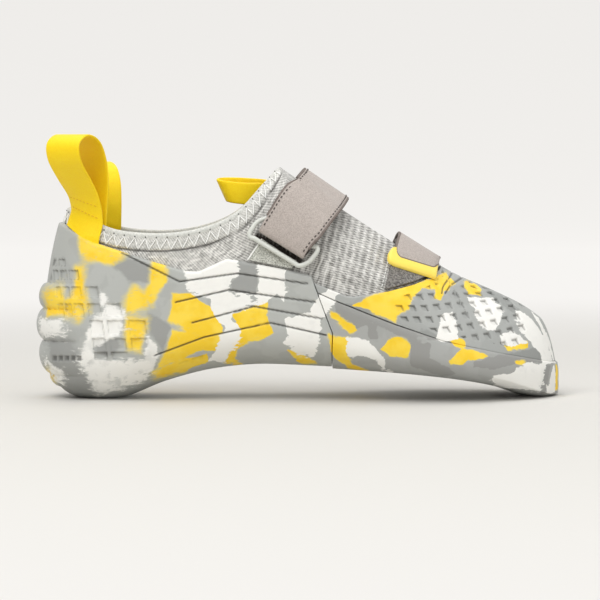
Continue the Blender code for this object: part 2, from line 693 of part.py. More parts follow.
def tongue_loop():
    """Small ribbon loop sewn under the tongue's top edge, standing out to the back."""
    route = spline(TONGUE_LOOP, np.linspace(0, len(TONGUE_LOOP) - 1, 17), False)
    back = (route[:, 0] - route[0, 0]) / np.ptp(route[:, 0])
    upright = np.stack([TONGUE_TILT * back, 0 * back, 1 + 0 * back], -1)
    lift = np.linspace(-0.5, 0.5, 3)[:, None, None] * TONGUE_RIBBON
    return band("tongue_loop", route[None] + lift * upright, RIBBON, YELLOW, 0.5)


def main():
    for obj in list(bpy.data.objects):
        bpy.data.objects.remove(obj)
    shoe = bpy.data.collections.new("climbing_shoe")
    bpy.context.scene.collection.children.link(shoe)
    upper()
    insole()
    heel_shell()
    outsole()
    toe_patch()
    strap_and_ring("upper", UPPER_STRAP, -1, SHELL_EDGE, SHELL_EDGE)
    strap_and_ring("lower", LOWER_STRAP, 1, PATCH_EDGE, PATCH_EDGE_INNER)
    pull_tab()
    heel_loop("heel_loop_outer", HEEL_LOOP_COLUMN, 1.0)
    heel_loop("heel_loop_inner", ROUND - INNER_LOOP_COLUMN, INNER_LOOP_DROP)
    tongue_loop()


main()
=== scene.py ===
"""Looks of the right-foot climbing shoe: rubber, knit, straps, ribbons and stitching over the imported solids.

The pieces are cut from the same last as the solids, with more points and with the relief, stitches and
materials that the solids leave out. Sizes are in millimetres until metres() puts them in the frame: X from
the middle of the shoe's length, Y from the heel's middle line and Z from the floor.
"""

import math
from collections import namedtuple

import bpy
import numpy as np
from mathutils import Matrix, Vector


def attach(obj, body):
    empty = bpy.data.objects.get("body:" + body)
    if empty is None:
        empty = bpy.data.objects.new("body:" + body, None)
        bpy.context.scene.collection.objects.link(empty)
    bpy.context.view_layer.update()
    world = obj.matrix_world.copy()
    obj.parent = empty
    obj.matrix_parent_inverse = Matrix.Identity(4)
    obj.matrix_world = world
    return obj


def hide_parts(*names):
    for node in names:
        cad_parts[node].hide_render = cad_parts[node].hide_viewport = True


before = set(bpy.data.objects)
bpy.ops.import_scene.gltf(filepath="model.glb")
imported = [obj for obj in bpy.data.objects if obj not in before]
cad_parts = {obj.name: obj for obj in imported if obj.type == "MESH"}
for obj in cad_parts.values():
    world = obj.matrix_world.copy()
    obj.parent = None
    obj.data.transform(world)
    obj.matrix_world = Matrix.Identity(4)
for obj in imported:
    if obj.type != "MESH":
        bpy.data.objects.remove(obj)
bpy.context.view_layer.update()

MM = 0.001
UPWARD = np.array((0.0, 0.0, 1.0))
BOX_MIDDLE = np.array((0.0, 2.5, 0.0))  # middle of the finished shoe

# Wall thicknesses and clearances
KNIT = 1.8
CUFF_STEP = 0.6
CUFF_DEPTH = 8.0
CLEARANCE = 0.35
PATCH_CLEARANCE = 1.0
HEEL_SIDE = 2.6
HEEL_UNDER = 5.2
ARCH_UNDER = 3.2
TOE_PATCH = 1.5
SOLE_SIDE = 3.0
SOLE_UNDER = 4.0
INSOLE = 2.0
STRAP = 1.5
RIBBON = 1.1
RING_WIRE = 2.3

# One row for each column of the last, heel to toe. side: the widest line, with its reach to either side.
# under: the line under the foot. top: collar or ridge, half is the collar's half width there.
# square: corner of the underside. lean: share of the way to the top line in X that is made early.
Column = namedtuple(
    "Column",
    "side_x outer inner side_z under_x under_z top_x top_y half top_z square lean",
)
COLUMNS = (
    Column(-120.5, 0.0, 0.0, 34, -101, 4.6, -111.0, 0.0, 0.0, 92.6, 2.5, 0.0),
    Column(-117.0, 14.0, 14.0, 34, -99, 4.6, -107.5, 0.0, 11.5, 90.8, 2.5, 0.0),
    Column(-107.0, 24.0, 24.0, 33, -94, 4.6, -98.5, 0.0, 20.0, 86.5, 2.5, 0.0),
    Column(-92.0, 28.0, 28.0, 32, -84, 5.6, -86.0, 0.0, 24.5, 82.0, 2.5, 0.0),
    Column(-70.0, 28.5, 27.5, 33, -66, 12.0, -66.0, 0.0, 26.5, 80.5, 2.5, 0.0),
    Column(-46.0, 27.5, 25.0, 36, -44, 17.2, -47.0, 0.0, 26.0, 83.0, 2.5, 0.0),
    Column(-21.0, 28.0, 24.0, 37, -21, 19.8, -31.0, 0.0, 22.5, 90.0, 2.5, 0.0),
    Column(5.0, 31.0, 27.0, 35, 5, 19.2, -18.0, 0.0, 14.0, 103.0, 2.6, 0.0),
    Column(31.0, 36.0, 34.0, 31, 30, 18.0, -9.0, 0.0, 0.0, 111.5, 3.0, 0.0),
    Column(55.0, 38.5, 41.0, 26, 53, 16.4, 21.0, 2.5, 0.0, 91.0, 3.4, 0.0),
    Column(77.0, 35.5, 43.5, 21, 74, 14.0, 49.0, 5.0, 0.0, 73.0, 3.6, 0.0),
    Column(95.5, 27.0, 42.0, 17, 91, 10.6, 73.0, 8.0, 0.0, 58.5, 3.6, 0.0),
    Column(109.5, 15.0, 37.0, 14, 103, 6.7, 93.0, 10.5, 0.0, 49.5, 4.2, 0.2),
    Column(119.5, 1.0, 28.0, 12, 110, 4.1, 106.5, 12.5, 0.0, 42.8, 5.0, 0.5),
    Column(124.0, -14.0, 14.0, 12, 114, 3.5, 115.0, 14.0, 0.0, 37.0, 5.0, 0.6),
)
LAST = len(COLUMNS) - 1
ROUND = 2 * LAST
TONGUE = 8  # the column that ends at the middle of the tongue's top edge
ROW_UNDER, ROW_SIDE, ROW_TOP = 0.0, 1.0, 2.0
CLOSING_START = 4.5  # column where the two sides start to close over the instep
LOWEST_EDGE = 0.5  # row that every edge of the rubber stays above

# Edge lines of the rubber, as heights over X in the side view
Edge = namedtuple("Edge", "x z")
SHELL_EDGE = (
    Edge(-125, 88.0),
    Edge(-114.7, 85.5),
    Edge(-98, 76.0),
    Edge(-69.4, 66.8),
    Edge(-53.8, 62.4),
    Edge(-48.0, 62.2),
    Edge(-34.5, 68.2),
    Edge(-29.5, 67.4),
    Edge(-7.6, 63.4),
    Edge(4.0, 61.0),
    Edge(30.0, 51.0),
)
PATCH_EDGE = (
    Edge(5, 52.5),
    Edge(26, 50.5),
    Edge(42, 52.5),
    Edge(54, 55.0),
    Edge(62, 57.8),
    Edge(67.5, 61.0),
    Edge(69.5, 90.0),
)
PATCH_EDGE_INNER = (
    Edge(5, 52.5),
    Edge(26, 47.0),
    Edge(45, 43.5),
    Edge(58, 44.5),
    Edge(65, 50.0),
    Edge(67.5, 61.0),
    Edge(69.5, 90.0),
)
SOLE_EDGE = (
    Edge(5, 54.0),
    Edge(17.5, 48.5),
    Edge(46, 37.0),
    Edge(67.6, 29.0),
    Edge(94, 22.0),
    Edge(119, 16.6),
    Edge(128, 15.4),
)
SOLE_START = 7.44  # where along the ring of columns the outsole takes over from the heel shell
SEAM = 0.012  # half the gap between shell and outsole, as a share of a column step

# Ribs moulded round the back of the heel: lowest and highest edge and how far each stands out
Rib = namedtuple("Rib", "low high out")
HEEL_RIBS = (Rib(9, 14.0, 1.6), Rib(14.0, 28.5, 3.4), Rib(28.5, 43.4, 4.0), Rib(43.4, 55.4, 3.4))
RIB_REACH = 2.3  # columns from the back of the heel to where the ribs have faded out

# Straps between slanting planes, with the fold at the ring and the free tip as heights at either edge
Strap = namedtuple("Strap", "rise near far lift fold tip")
Ends = namedtuple("Ends", "near far")
UPPER_STRAP = Strap(54.0, -62.5, -37.5, 0.5, Ends(81.0, 68.5), Ends(84.0, 76.0))
LOWER_STRAP = Strap(75.0, 25.0, 47.0, 0.0, Ends(62.5, 54.5), Ends(66.8, 59.5))
STRAP_GAP = 1.2
RING_BAR_UP = 5.2
RING_BAR_DOWN = 3.6
RING_SIDE = 3.3
RING_HEIGHT = 4.5
WEBBING = 1.0
WEBBING_INSET = 2.5
WEBBING_TURN = 1.0
BAR_GAP = 0.9
TAB_END = 3.6
TAB_LIP = 3.0
TAB_UNDER = 3.0  # how far the tab reaches up under the strap
TIP_CORNER = 3.5
PILE = 0.3
TAB_LOW, TAB_HIGH = 3.0, 5.2

# Pull loops: ribbon widths, and the loop's profile as distance out from the collar edge and height over it
HEEL_RIBBON = 19.0
HEEL_LOOP_COLUMN = 1.75
Turn = namedtuple("Turn", "out up")
HEEL_LOOP = (
    Turn(2.1, -7.0),
    Turn(2.1, -1.0),
    Turn(4.2, 8.0),
    Turn(11.0, 18.0),
    Turn(19.0, 27.5),
    Turn(20.0, 35.3),
    Turn(12.5, 39.3),
    Turn(3.0, 36.0),
    Turn(-2.4, 26.5),
    Turn(-4.0, 14.0),
    Turn(-3.4, 3.0),
    Turn(-3.0, -3.0),
    Turn(-3.0, -9.0),
)
# The inner loop has sunk lower and sits a little further forward
INNER_LOOP_COLUMN = 2.1
INNER_LOOP_DROP = 0.7
TONGUE_RIBBON = 10.8
TONGUE_TILT = 0.45
Bend = namedtuple("Bend", "x y z")
TONGUE_LOOP = (
    Bend(0.8, -2.6, 96.0),
    Bend(-13, -4.0, 98.4),
    Bend(-25, -5.6, 98.8),
    Bend(-34, -4.6, 99.7),
    Bend(-37.3, 0, 100.6),
    Bend(-34, 4.6, 101.2),
    Bend(-25, 5.6, 101.0),
    Bend(-13, 4.0, 99.8),
    Bend(0.8, 2.6, 96.0),
)


# The last


def spline(rows, at, closed):
    """Smooth curve through rows at whole numbers, read at any numbers."""
    rows = np.asarray(rows, float)
    at = np.asarray(at, float)
    count = len(rows)
    if not closed:
        rows = np.vstack([2 * rows[0] - rows[1], rows, 2 * rows[-1] - rows[-2]])
        at = np.clip(at, 0, count - 1 - 1e-9) + 1
    start = np.floor(at).astype(int)
    part = (at - start)[..., None]
    pick = [(start + step) % len(rows) if closed else start + step for step in (-1, 0, 1, 2)]
    before, here, after, beyond = (rows[np.clip(i, 0, len(rows) - 1)] for i in pick)
    return 0.5 * (
        2 * here
        + (after - before) * part
        + (2 * before - 5 * here + 4 * after - beyond) * part**2
        + (3 * here - before - 3 * after + beyond) * part**3
    )


def ring_rows(pick):
    """Rows for the closed ring: outer side heel to toe, then inner side back to the heel."""
    outer = [pick(c, -1) for c in COLUMNS]
    inner = [pick(c, 1) for c in COLUMNS[-2:0:-1]]
    return outer + inner


SIDE_RING = ring_rows(lambda c, s: (c.side_x, c.inner if s > 0 else -c.outer, c.side_z))
COLLAR_RING = [(c.top_x, -c.half, c.top_z) for c in COLUMNS[: TONGUE + 1]]
COLLAR_RING += [(c.top_x, c.half, c.top_z) for c in COLUMNS[TONGUE - 1 : 0 : -1]]
RIDGE = [(c.top_x, c.top_y, c.top_z) for c in COLUMNS[TONGUE:]]
UNDER = [(c.under_x, c.top_y, c.under_z) for c in COLUMNS]
CORNERS = [(c.square, c.lean) for c in COLUMNS]


def smoothstep(value):
    value = np.clip(value, 0, 1)
    return value * value * (3 - 2 * value)


def steps_from_heel(column):
    """Columns between the back of the heel and this one, on either side."""
    column = np.mod(column, ROUND)
    return np.minimum(column, ROUND - column)


def top_line(column):
    """Collar behind the tongue, ridge of the instep in front of it."""
    steps = steps_from_heel(column)
    around = np.where(np.mod(column, ROUND) <= LAST, steps, 2 * TONGUE - steps)
    collar = spline(COLLAR_RING, np.clip(around, 0, 2 * TONGUE), True)
    ridge = spline(RIDGE, np.maximum(steps - TONGUE, 0), False)
    return np.where((steps < TONGUE)[..., None], collar, ridge)


def last_point(column, row):
    """Point on the last. row runs from 0 under the foot over 1 at the side to 2 at the top."""
    column, row = np.broadcast_arrays(np.asarray(column, float), np.asarray(row, float))
    steps = steps_from_heel(column)
    side = spline(SIDE_RING, np.mod(column, ROUND), True)
    under = spline(UNDER, steps, False)
    top = top_line(column)
    square, lean = np.moveaxis(spline(CORNERS, steps, False), -1, 0)
    turn = np.clip(row, 0, 1) * math.pi / 2
    out = np.sin(turn) ** (2 / square)
    lift = 1 - np.cos(turn) ** (2 / square)
    climb = np.clip(row - 1, 0, 1)
    turn = climb * math.pi / 2
    closing = smoothstep((steps - CLOSING_START) / (TONGUE - CLOSING_START))
    early, late = 1 - np.cos(turn), np.sin(turn)
    forward = (1 - closing) * climb**2 + closing * (lean * early + (1 - lean) * late)
    inward = (1 - closing) * climb**2 + closing * early
    upward = (1 - closing) * climb + closing * late
    reach = np.stack([out, out, lift], -1)
    rise = np.stack([forward, inward, upward], -1)
    low = under + (side - under) * reach
    high = side + (top - side) * rise
    return np.where((row < ROW_SIDE)[..., None], low, high)


NORMAL_STEP = 0.02  # columns or rows
NORMAL_LOW, NORMAL_HIGH = ROW_UNDER + 0.06, ROW_TOP - 0.04  # rows that normals are read between
MEETING = 0.1  # rows over which the normals of the two sides become one where they meet


def slope_normal(column, row):
    """Outward normal of the last from small steps along the column and across it."""
    row = np.clip(row, NORMAL_LOW, NORMAL_HIGH)
    along = last_point(column, row + NORMAL_STEP) - last_point(column, row - NORMAL_STEP)
    across = last_point(column + NORMAL_STEP, row) - last_point(column - NORMAL_STEP, row)
    return unit(np.cross(across, along))


def unit(vectors):
    return vectors / np.linalg.norm(vectors, axis=-1, keepdims=True)


def last_normal(column, row):
    """Outward normal, the same from both sides on the lines where the two sides meet."""
    column, row = np.broadcast_arrays(np.asarray(column, float), np.asarray(row, float))
    normal = slope_normal(column, row)
    both = unit(normal + slope_normal(ROUND - column, row))
    ridge = steps_from_heel(column) >= TONGUE
    above = np.where(ridge, smoothstep((row - (ROW_TOP - MEETING)) / MEETING), 0)
    share = above + smoothstep((MEETING - row) / MEETING)
    return unit(normal + (both - normal) * share[..., None])


def off_last(column, row, distance):
    """Point at a distance outside the last."""
    return last_point(column, row) + last_normal(column, row) * np.asarray(distance)[..., None]


def edge_height(edges, x):
    return np.interp(x, [e.x for e in edges], [e.z for e in edges])


HALVINGS = 30


def halve(low, high, shape, beyond):
    """Numbers just below and just above the place between low and high where beyond() turns true."""
    low, high = np.full(shape, low, float), np.full(shape, high, float)
    for _ in range(HALVINGS):
        middle = (low + high) / 2
        past = beyond(middle)
        high = np.where(past, middle, high)
        low = np.where(past, low, middle)
    return low, high


def row_at(column, edges, inner_edges=None):
    """Row where each column meets an edge line of the side view, or the top where it stays below."""
    column = np.asarray(column, float)
    inner_side = np.mod(column, ROUND) > LAST

    def above(row):
        point = last_point(column, row)
        level = edge_height(edges, point[..., 0])
        inner_level = edge_height(inner_edges or edges, point[..., 0])
        return point[..., 2] > np.where(inner_side, inner_level, level)

    return halve(LOWEST_EDGE, ROW_TOP, column.shape, above)[1]


def lattice(columns, rows):
    """Column and row numbers of a grid; rows may differ from column to column."""
    rows = np.asarray(rows, float)
    if rows.ndim == 1:
        rows = np.broadcast_to(rows, (len(columns), len(rows)))
    return np.broadcast_to(np.asarray(columns, float)[:, None], rows.shape), rows


def girth(points):
    """Distance along each column's own section, square to X, from its first row."""
    step = np.linalg.norm(np.diff(points, axis=1)[..., 1:], axis=-1)
    return np.concatenate([np.zeros((len(points), 1)), np.cumsum(step, axis=1)], axis=1)


def travel(points):
    """Distance of each point from the first, along the line of points."""
    return np.concatenate([[0], np.cumsum(np.linalg.norm(np.diff(points, axis=0), axis=-1))])


# Meshes

SHARP = math.radians(50)  # edges sharper than this aren't smoothed


def metres(points):
    """Millimetres of this script to metres from the middle of the finished shoe."""
    return (points - BOX_MIDDLE) * MM


def new_piece(name, points, faces, fields, material):
    """Mesh object from points in millimetres, riding with the shoe. fields are numbers at each point."""
    mesh = bpy.data.meshes.new(name)
    mesh.from_pydata(metres(points).tolist(), [], faces)
    for field, values in fields.items():
        layer = mesh.attributes.new(field, "FLOAT", "POINT")
        layer.data.foreach_set("value", np.asarray(values, np.float32))
    mesh.materials.append(material)
    mesh.update()
    mesh.shade_smooth()
    mesh.set_sharp_from_angle(angle=SHARP)
    piece = bpy.data.objects.new(name, mesh)
    bpy.context.scene.collection.objects.link(piece)
    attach(piece, "root")
    return piece


def dress(node):
    """Hides the solid that a piece stands in for."""
    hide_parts(node)


def grid_faces(ids, closed):
    """Quads over a grid of point numbers, as rows of four."""
    after = np.roll(ids, -1, axis=0) if closed else ids[1:]
    here = ids if closed else ids[:-1]
    return np.stack([here[:, :-1], after[:, :-1], after[:, 1:], here[:, 1:]], -1).reshape(-1, 4)


def clean_faces(faces):
    """Faces without repeated corners; those with fewer than three left are dropped."""
    kept = []
    for face in faces.tolist():
        corners = [c for i, c in enumerate(face) if c != face[i - 1]]
        if len(set(corners)) == len(corners) >= 3:
            kept.append(corners)
    return kept


def open_edges(faces):
    """Edges that only one face has, in that face's direction."""
    seen = {}
    for face in faces:
        for first, second in zip(face, face[1:] + face[:1]):
            seen[first, second] = True
    return [edge for edge in seen if edge[::-1] not in seen]


def wall(name, outside, inside, closed, material, fields=None, skip=1):
    """Closed shell between two surfaces over one grid. The inside keeps one point in skip each way."""
    columns, rows = outside.shape[:2]
    flat = outside.reshape(-1, 3)
    _, first, number = np.unique(np.round(flat, 4), axis=0, return_index=True, return_inverse=True)
    ids = number.reshape(columns, rows)
    faces = clean_faces(grid_faces(ids, closed))
    coarse = ids[::skip, ::skip]
    inner_faces = clean_faces(grid_faces(coarse, closed))
    used = np.unique(coarse)
    inner_id = {int(n): len(first) + i for i, n in enumerate(used)}
    inner_points = np.zeros((len(used), 3))
    inner_points[np.searchsorted(used, coarse.reshape(-1))] = inside[::skip, ::skip].reshape(-1, 3)
    following = dict(open_edges(faces))
    for start, end in open_edges(inner_faces):
        path = [start]
        while path[-1] != end:
            path.append(following[path[-1]])
        faces.append(path[::-1] + [inner_id[start], inner_id[end]])
    faces += [[inner_id[n] for n in face[::-1]] for face in inner_faces]
    values = {}
    for field, grid in (fields or {}).items():
        grid = np.broadcast_to(grid, (columns, rows)).reshape(-1)
        values[field] = np.concatenate([grid[first], grid[first[used]]])
    return new_piece(name, np.vstack([flat[first], inner_points]), faces, values, material)


ANY_SLANT = (0.3, 0.5, 0.8)  # direction that no tube starts in


def tube_rings(path, radius, sides, closed):
    """Rings of points round a path, turning with it as little as possible."""
    tangent = np.roll(path, -1, 0) - np.roll(path, 1, 0)
    if not closed:
        tangent[0], tangent[-1] = path[1] - path[0], path[-1] - path[-2]
    tangent = unit(tangent)
    start = np.cross(tangent[0], ANY_SLANT)
    normals = [start / np.linalg.norm(start)]
    for direction in tangent[1:]:
        normal = normals[-1] - direction * np.dot(normals[-1], direction)
        normals.append(normal / np.linalg.norm(normal))
    normals = np.array(normals)
    sideways = np.cross(tangent, normals)
    if closed:
        twist = math.atan2(np.dot(normals[-1], sideways[0]), np.dot(normals[-1], normals[0]))
    else:
        twist = 0.0
    angle = np.linspace(0, 2 * math.pi, sides, endpoint=False)[None, :]
    angle = angle - np.linspace(0, twist, len(path))[:, None]
    radius = np.broadcast_to(radius, len(path))[:, None, None]
    return path[:, None] + radius * (
        np.cos(angle)[..., None] * normals[:, None] + np.sin(angle)[..., None] * sideways[:, None]
    )


def tube_faces(ids, closed):
    """Faces of one tube over its rings of point numbers."""
    around = np.concatenate([ids, ids[:, :1]], axis=1)
    faces = grid_faces(around, closed).tolist()
    if not closed:
        faces += [ids[0][::-1].tolist(), ids[-1].tolist()]
    return faces


def tubes(name, paths, radius, material, sides=8, closed=False):
    """Many round threads or wires joined in one piece."""
    points, faces = [], []
    for path in paths:
        rings = tube_rings(np.asarray(path, float), radius, sides, closed)
        ids = np.arange(rings.shape[0] * sides).reshape(-1, sides) + sum(len(p) for p in points)
        points.append(rings.reshape(-1, 3))
        faces += tube_faces(ids[:, ::-1], closed)
    return new_piece(name, np.vstack(points), faces, {}, material)


Stitch = namedtuple("Stitch", "length pitch radius")
# Four places along a stitch, with its thickness and its height there as shares of its radius
STITCH_PLACES = np.array([0, 0.25, 0.75, 1])
STITCH_TAPER = np.array([0.35, 1.0, 1.0, 0.35])
STITCH_HEIGHTS = np.array([-0.25, 0.1, 0.1, -0.25])
THREAD_SIDES = 6


def stitches(name, lines, stitch, material):
    """Dashes of thread along lines of points, a little sunk at their ends. lines give (points, normals)."""
    paths = []
    for points, normals in lines:
        along = travel(points)
        for start in np.arange(stitch.pitch / 2, along[-1] - stitch.length, stitch.pitch):
            at = start + STITCH_PLACES * stitch.length
            place = np.stack([np.interp(at, along, points[:, k]) for k in range(3)], -1)
            normal = np.stack([np.interp(at, along, normals[:, k]) for k in range(3)], -1)
            paths.append(place + normal * STITCH_HEIGHTS[:, None] * stitch.radius)
    return tubes(name, paths, STITCH_TAPER * stitch.radius, material, sides=THREAD_SIDES)


BESIDE = 0.2  # small step across a strip, to find which way it faces


def band(name, middle, width, thickness, material, across=14, pile=0.0):
    """Closed strip of cloth. middle(across) gives its middle layer; pile is how fuzzy it is along it."""
    half = thickness / 2
    flat = np.linspace(half, width - half, across)
    turn = np.linspace(0, math.pi, 7)[1:-1]
    bend = half * np.sin(turn)
    profile = np.concatenate([flat, width - half + bend, flat[::-1], half - bend])
    height = np.concatenate([np.ones(across), np.cos(turn), -np.ones(across), -np.cos(turn)]) * half
    points = middle(profile)
    sideways = middle(profile + BESIDE) - middle(profile - BESIDE)
    along = np.gradient(points, axis=1)
    normal = unit(np.cross(sideways, along))
    grid = points + normal * height[:, None, None]
    count, places = grid.shape[:2]
    ids = np.arange(count * places).reshape(count, places)
    faces = grid_faces(ids, True).tolist() + [ids[::-1, 0].tolist(), ids[:, -1].tolist()]
    steps = np.linalg.norm(np.diff(points, axis=1), axis=-1)
    run = np.concatenate([np.zeros((count, 1)), np.cumsum(steps, axis=1)], axis=1)
    fields = {
        "across": np.repeat(profile, places),
        "along": run.reshape(-1),
        "pile": np.tile(np.broadcast_to(pile, places), count),
    }
    return new_piece(name, grid.reshape(-1, 3), faces, fields, material)


# Materials


class Shader:
    """Short way to write a material's nodes."""

    def __init__(self, name):
        self.material = bpy.data.materials.new(name)
        self.material.use_nodes = True
        self.tree = self.material.node_tree
        self.surface = self.tree.nodes["Principled BSDF"]

    def node(self, kind, settings=None, **inputs):
        made = self.tree.nodes.new("ShaderNode" + kind)
        for key, value in (settings or {}).items():
            setattr(made, key, value)
        for key, value in inputs.items():
            self.put(made.inputs[int(key[1:]) if key[1:].isdigit() else key.replace("_", " ")], value)
        return made

    def put(self, socket, value):
        if isinstance(value, bpy.types.NodeSocket):
            self.tree.links.new(value, socket)
        else:
            socket.default_value = value

    def math(self, operation, first, second=0.0, third=0.0, clamp=False):
        settings = {"operation": operation, "use_clamp": clamp}
        return self.node("Math", settings, i0=first, i1=second, i2=third).outputs[0]

    def add(self, first, second):
        return self.math("ADD", first, second)

    def times(self, first, second):
        return self.math("MULTIPLY", first, second)

    def rest(self, value):
        """What a value leaves of one."""
        return self.add(1.0, self.times(value, -1.0))

    def field(self, name):
        """Numbers that the mesh has at its points."""
        return self.node("Attribute", {"attribute_name": name}).outputs["Fac"]

    def place(self):
        """Point on the shoe in millimetres."""
        where = self.node("TexCoord").outputs["Object"]
        return self.node("VectorMath", {"operation": "SCALE"}, Vector=where, Scale=1 / MM).outputs[0]

    def vector(self, x, y, z=0.0):
        return self.node("CombineXYZ", None, X=x, Y=y, Z=z).outputs[0]

    def noise(self, where, size, detail=2.0, roughness=0.5, distortion=0.0):
        """Noise of about 0 to 1, with lumps of a size in millimetres."""
        return self.node(
            "TexNoise", None, Vector=where, Scale=1 / size, Detail=detail, Roughness=roughness,
            Distortion=distortion,
        ).outputs["Fac"]

    def speckle(self, where):
        """Random number for each whole-number cell."""
        cell = self.node("VectorMath", {"operation": "FLOOR"}, i0=where).outputs[0]
        return self.node("TexWhiteNoise", {"noise_dimensions": "3D"}, Vector=cell).outputs["Value"]

    def step(self, value, low, high):
        """0 below low, 1 above high, smooth between."""
        settings = {"interpolation_type": "SMOOTHSTEP"}
        return self.node("MapRange", settings, Value=value, From_Min=low, From_Max=high).outputs["Result"]

    def mix(self, share, first, second):
        made = self.node("Mix", {"data_type": "RGBA"})
        for socket, value in zip((made.inputs[0], made.inputs[6], made.inputs[7]), (share, first, second)):
            self.put(socket, value)
        return made.outputs[2]

    def bump(self, height, distance, strength=1.0, before=None):
        made = self.node("Bump", None, Height=height, Distance=distance * MM, Strength=strength)
        if before is not None:
            self.put(made.inputs["Normal"], before)
        return made.outputs[0]

    def finish(self, colour=None, roughness=None, normal=None, **values):
        for key, value in (("Base Color", colour), ("Roughness", roughness), ("Normal", normal)):
            if value is not None:
                self.put(self.surface.inputs[key], value)
        for key, value in values.items():
            self.put(self.surface.inputs[key.replace("_", " ")], value)
        return self.material


def rgb(red, green, blue):
    """Linear colour from the 0 to 255 values of a display."""
    shares = np.array((red, green, blue)) / 255
    linear = np.where(shares <= 0.04045, shares / 12.92, ((shares + 0.055) / 1.055) ** 2.4)
    return (*linear.tolist(), 1.0)


OFF_WHITE = rgb(240, 239, 234)
YELLOW = rgb(246, 205, 44)
BRIGHT_YELLOW = rgb(250, 216, 74)
PALE_YELLOW = rgb(228, 212, 124)
# grey of the painted shade in the rubber's recesses
PAINTED_SHADE_GREY = rgb(72, 72, 68)
PILE_DARK, PILE_LIGHT = rgb(62, 57, 54), rgb(122, 114, 108)


def rubber(name, light, dark):
    """Marbled rubber: light and dark grey, with yellow and white patches over them."""
    s = Shader(name)
    where = s.place()
    loose = s.step(s.noise(where, 17.0, 2.0), 0.46, 0.62)
    soft = s.times(s.field("soft"), s.add(0.6, s.times(loose, 0.9)))
    less = s.times(soft, -1.0)
    wide = s.add(s.noise(where, 7.0, 3.0, 0.5, 0.5), -0.5)
    fine = s.add(s.noise(where, 1.5, 2.0, 0.6), -0.5)
    brushed = s.node("VectorMath", {"operation": "MULTIPLY"}, i0=where, i1=(0.5, 0.5, 1.4)).outputs[0]
    streaks = s.add(s.noise(brushed, 2.0, 3.0, 0.65, 0.4), -0.5)
    strokes = s.times(streaks, s.add(s.times(loose, 4.5), s.times(soft, 3.0)))
    ragged = s.add(s.add(s.times(wide, 4.2), s.times(fine, 0.45)), s.times(strokes, 0.5))
    grey = s.mix(s.step(s.add(s.field("dark"), ragged), less, soft), light, dark)
    cloud = s.step(s.noise(where, 15.0, 2.0, 0.5, 0.6), 0.5, 0.56)
    grey = s.mix(s.times(cloud, 0.25), grey, dark)
    yellow = s.add(s.field("yellow"), ragged)
    rim = s.mix(s.times(s.step(yellow, s.times(soft, -2.2), 0.0), 0.5), grey, PALE_YELLOW)
    paint = s.mix(s.step(s.noise(where, 9.0, 3.0), 0.35, 0.65), YELLOW, BRIGHT_YELLOW)
    smear = s.times(s.step(streaks, 0.03, 0.2), s.times(soft, 0.3))
    colour = s.mix(s.times(s.step(yellow, less, soft), s.rest(smear)), rim, paint)
    white = s.add(s.add(s.field("white"), ragged), strokes)
    veil = s.times(s.step(s.noise(where, 6.0, 3.0, 0.6), 0.5, 0.66), s.times(soft, 0.22))
    colour = s.mix(s.times(s.step(white, less, soft), s.rest(veil)), colour, OFF_WHITE)
    # painted shade: darker grey in the windows, slots, notches and lines, where shade falls in the recesses
    colour = s.mix(s.field("painted_shade"), colour, PAINTED_SHADE_GREY)
    grain = s.noise(where, 0.35, 2.0)
    lumps = s.noise(where, 5.0, 2.0)
    normal = s.bump(grain, 0.05, 0.5, s.bump(lumps, 0.25, 0.35))
    roughness = s.add(0.42, s.times(s.noise(where, 7.0, 2.0), 0.22))
    return s.finish(colour, roughness, normal, Specular_IOR_Level=0.35)


def knit():
    """Melange stretch knit, with a plain cuff along the collar and ribs over the instep."""
    s = Shader("knit")
    u, v = s.field("around"), s.field("down")
    course = s.times(v, 1 / 1.1)
    wale = s.add(s.times(u, 1 / 1.4), s.times(course, 0.3))
    flecks = s.speckle(s.vector(wale, course))
    yarn = s.speckle(s.vector(s.times(u, 1 / 5.0), course, 7.0))
    cloud = s.noise(s.place(), 8.0, 2.0)
    mixed = s.add(s.add(s.times(flecks, 0.28), s.times(yarn, 0.14)), s.times(cloud, 0.16))
    loops = s.times(s.math("SINE", s.times(wale, 2 * math.pi)), s.math("SINE", s.times(course, 2 * math.pi)))
    plain_knit = s.add(s.add(mixed, 0.21), s.times(loops, 0.24))
    rib = s.math("SINE", s.times(s.field("rib"), 2 * math.pi))
    dash = s.math("SINE", s.times(s.field("along_rib"), 2 * math.pi / 1.05))
    ribbed = s.add(s.add(mixed, 0.16), s.times(rib, 0.09))
    ribbed = s.add(ribbed, s.times(dash, s.add(0.12, s.times(rib, -0.04))))
    panel = s.field("panel")
    blend = s.add(s.times(ribbed, panel), s.times(plain_knit, s.rest(panel)))
    side = s.mix(s.step(blend, 0.05, 0.95), rgb(116, 115, 111), rgb(250, 248, 243))
    cuff = s.mix(s.step(s.noise(s.place(), 0.9, 2.0), 0.3, 0.7), rgb(196, 197, 191), rgb(216, 216, 210))
    cuff = s.mix(s.times(s.step(v, 2.2, 2.9), 0.6), cuff, side)
    colour = s.mix(s.field("cuff"), side, cuff)
    # painted shade along the sunk seam below the cuff
    colour = s.mix(s.field("seam"), colour, rgb(92, 91, 88))
    # painted shadow: the knit is darkened under the upper ring's opening
    colour = s.mix(s.field("ring_shadow"), colour, rgb(56, 50, 46))
    height = s.add(s.times(loops, 0.5), s.times(flecks, 0.25))
    height = s.times(height, s.add(1.0, s.times(s.field("cuff"), -0.6)))
    normal = s.bump(height, 0.3, 0.6, s.bump(s.times(rib, panel), 0.5, 0.5))
    return s.finish(colour, 0.9, normal, Sheen_Weight=0.15, Sheen_Roughness=0.5, Specular_IOR_Level=0.2)


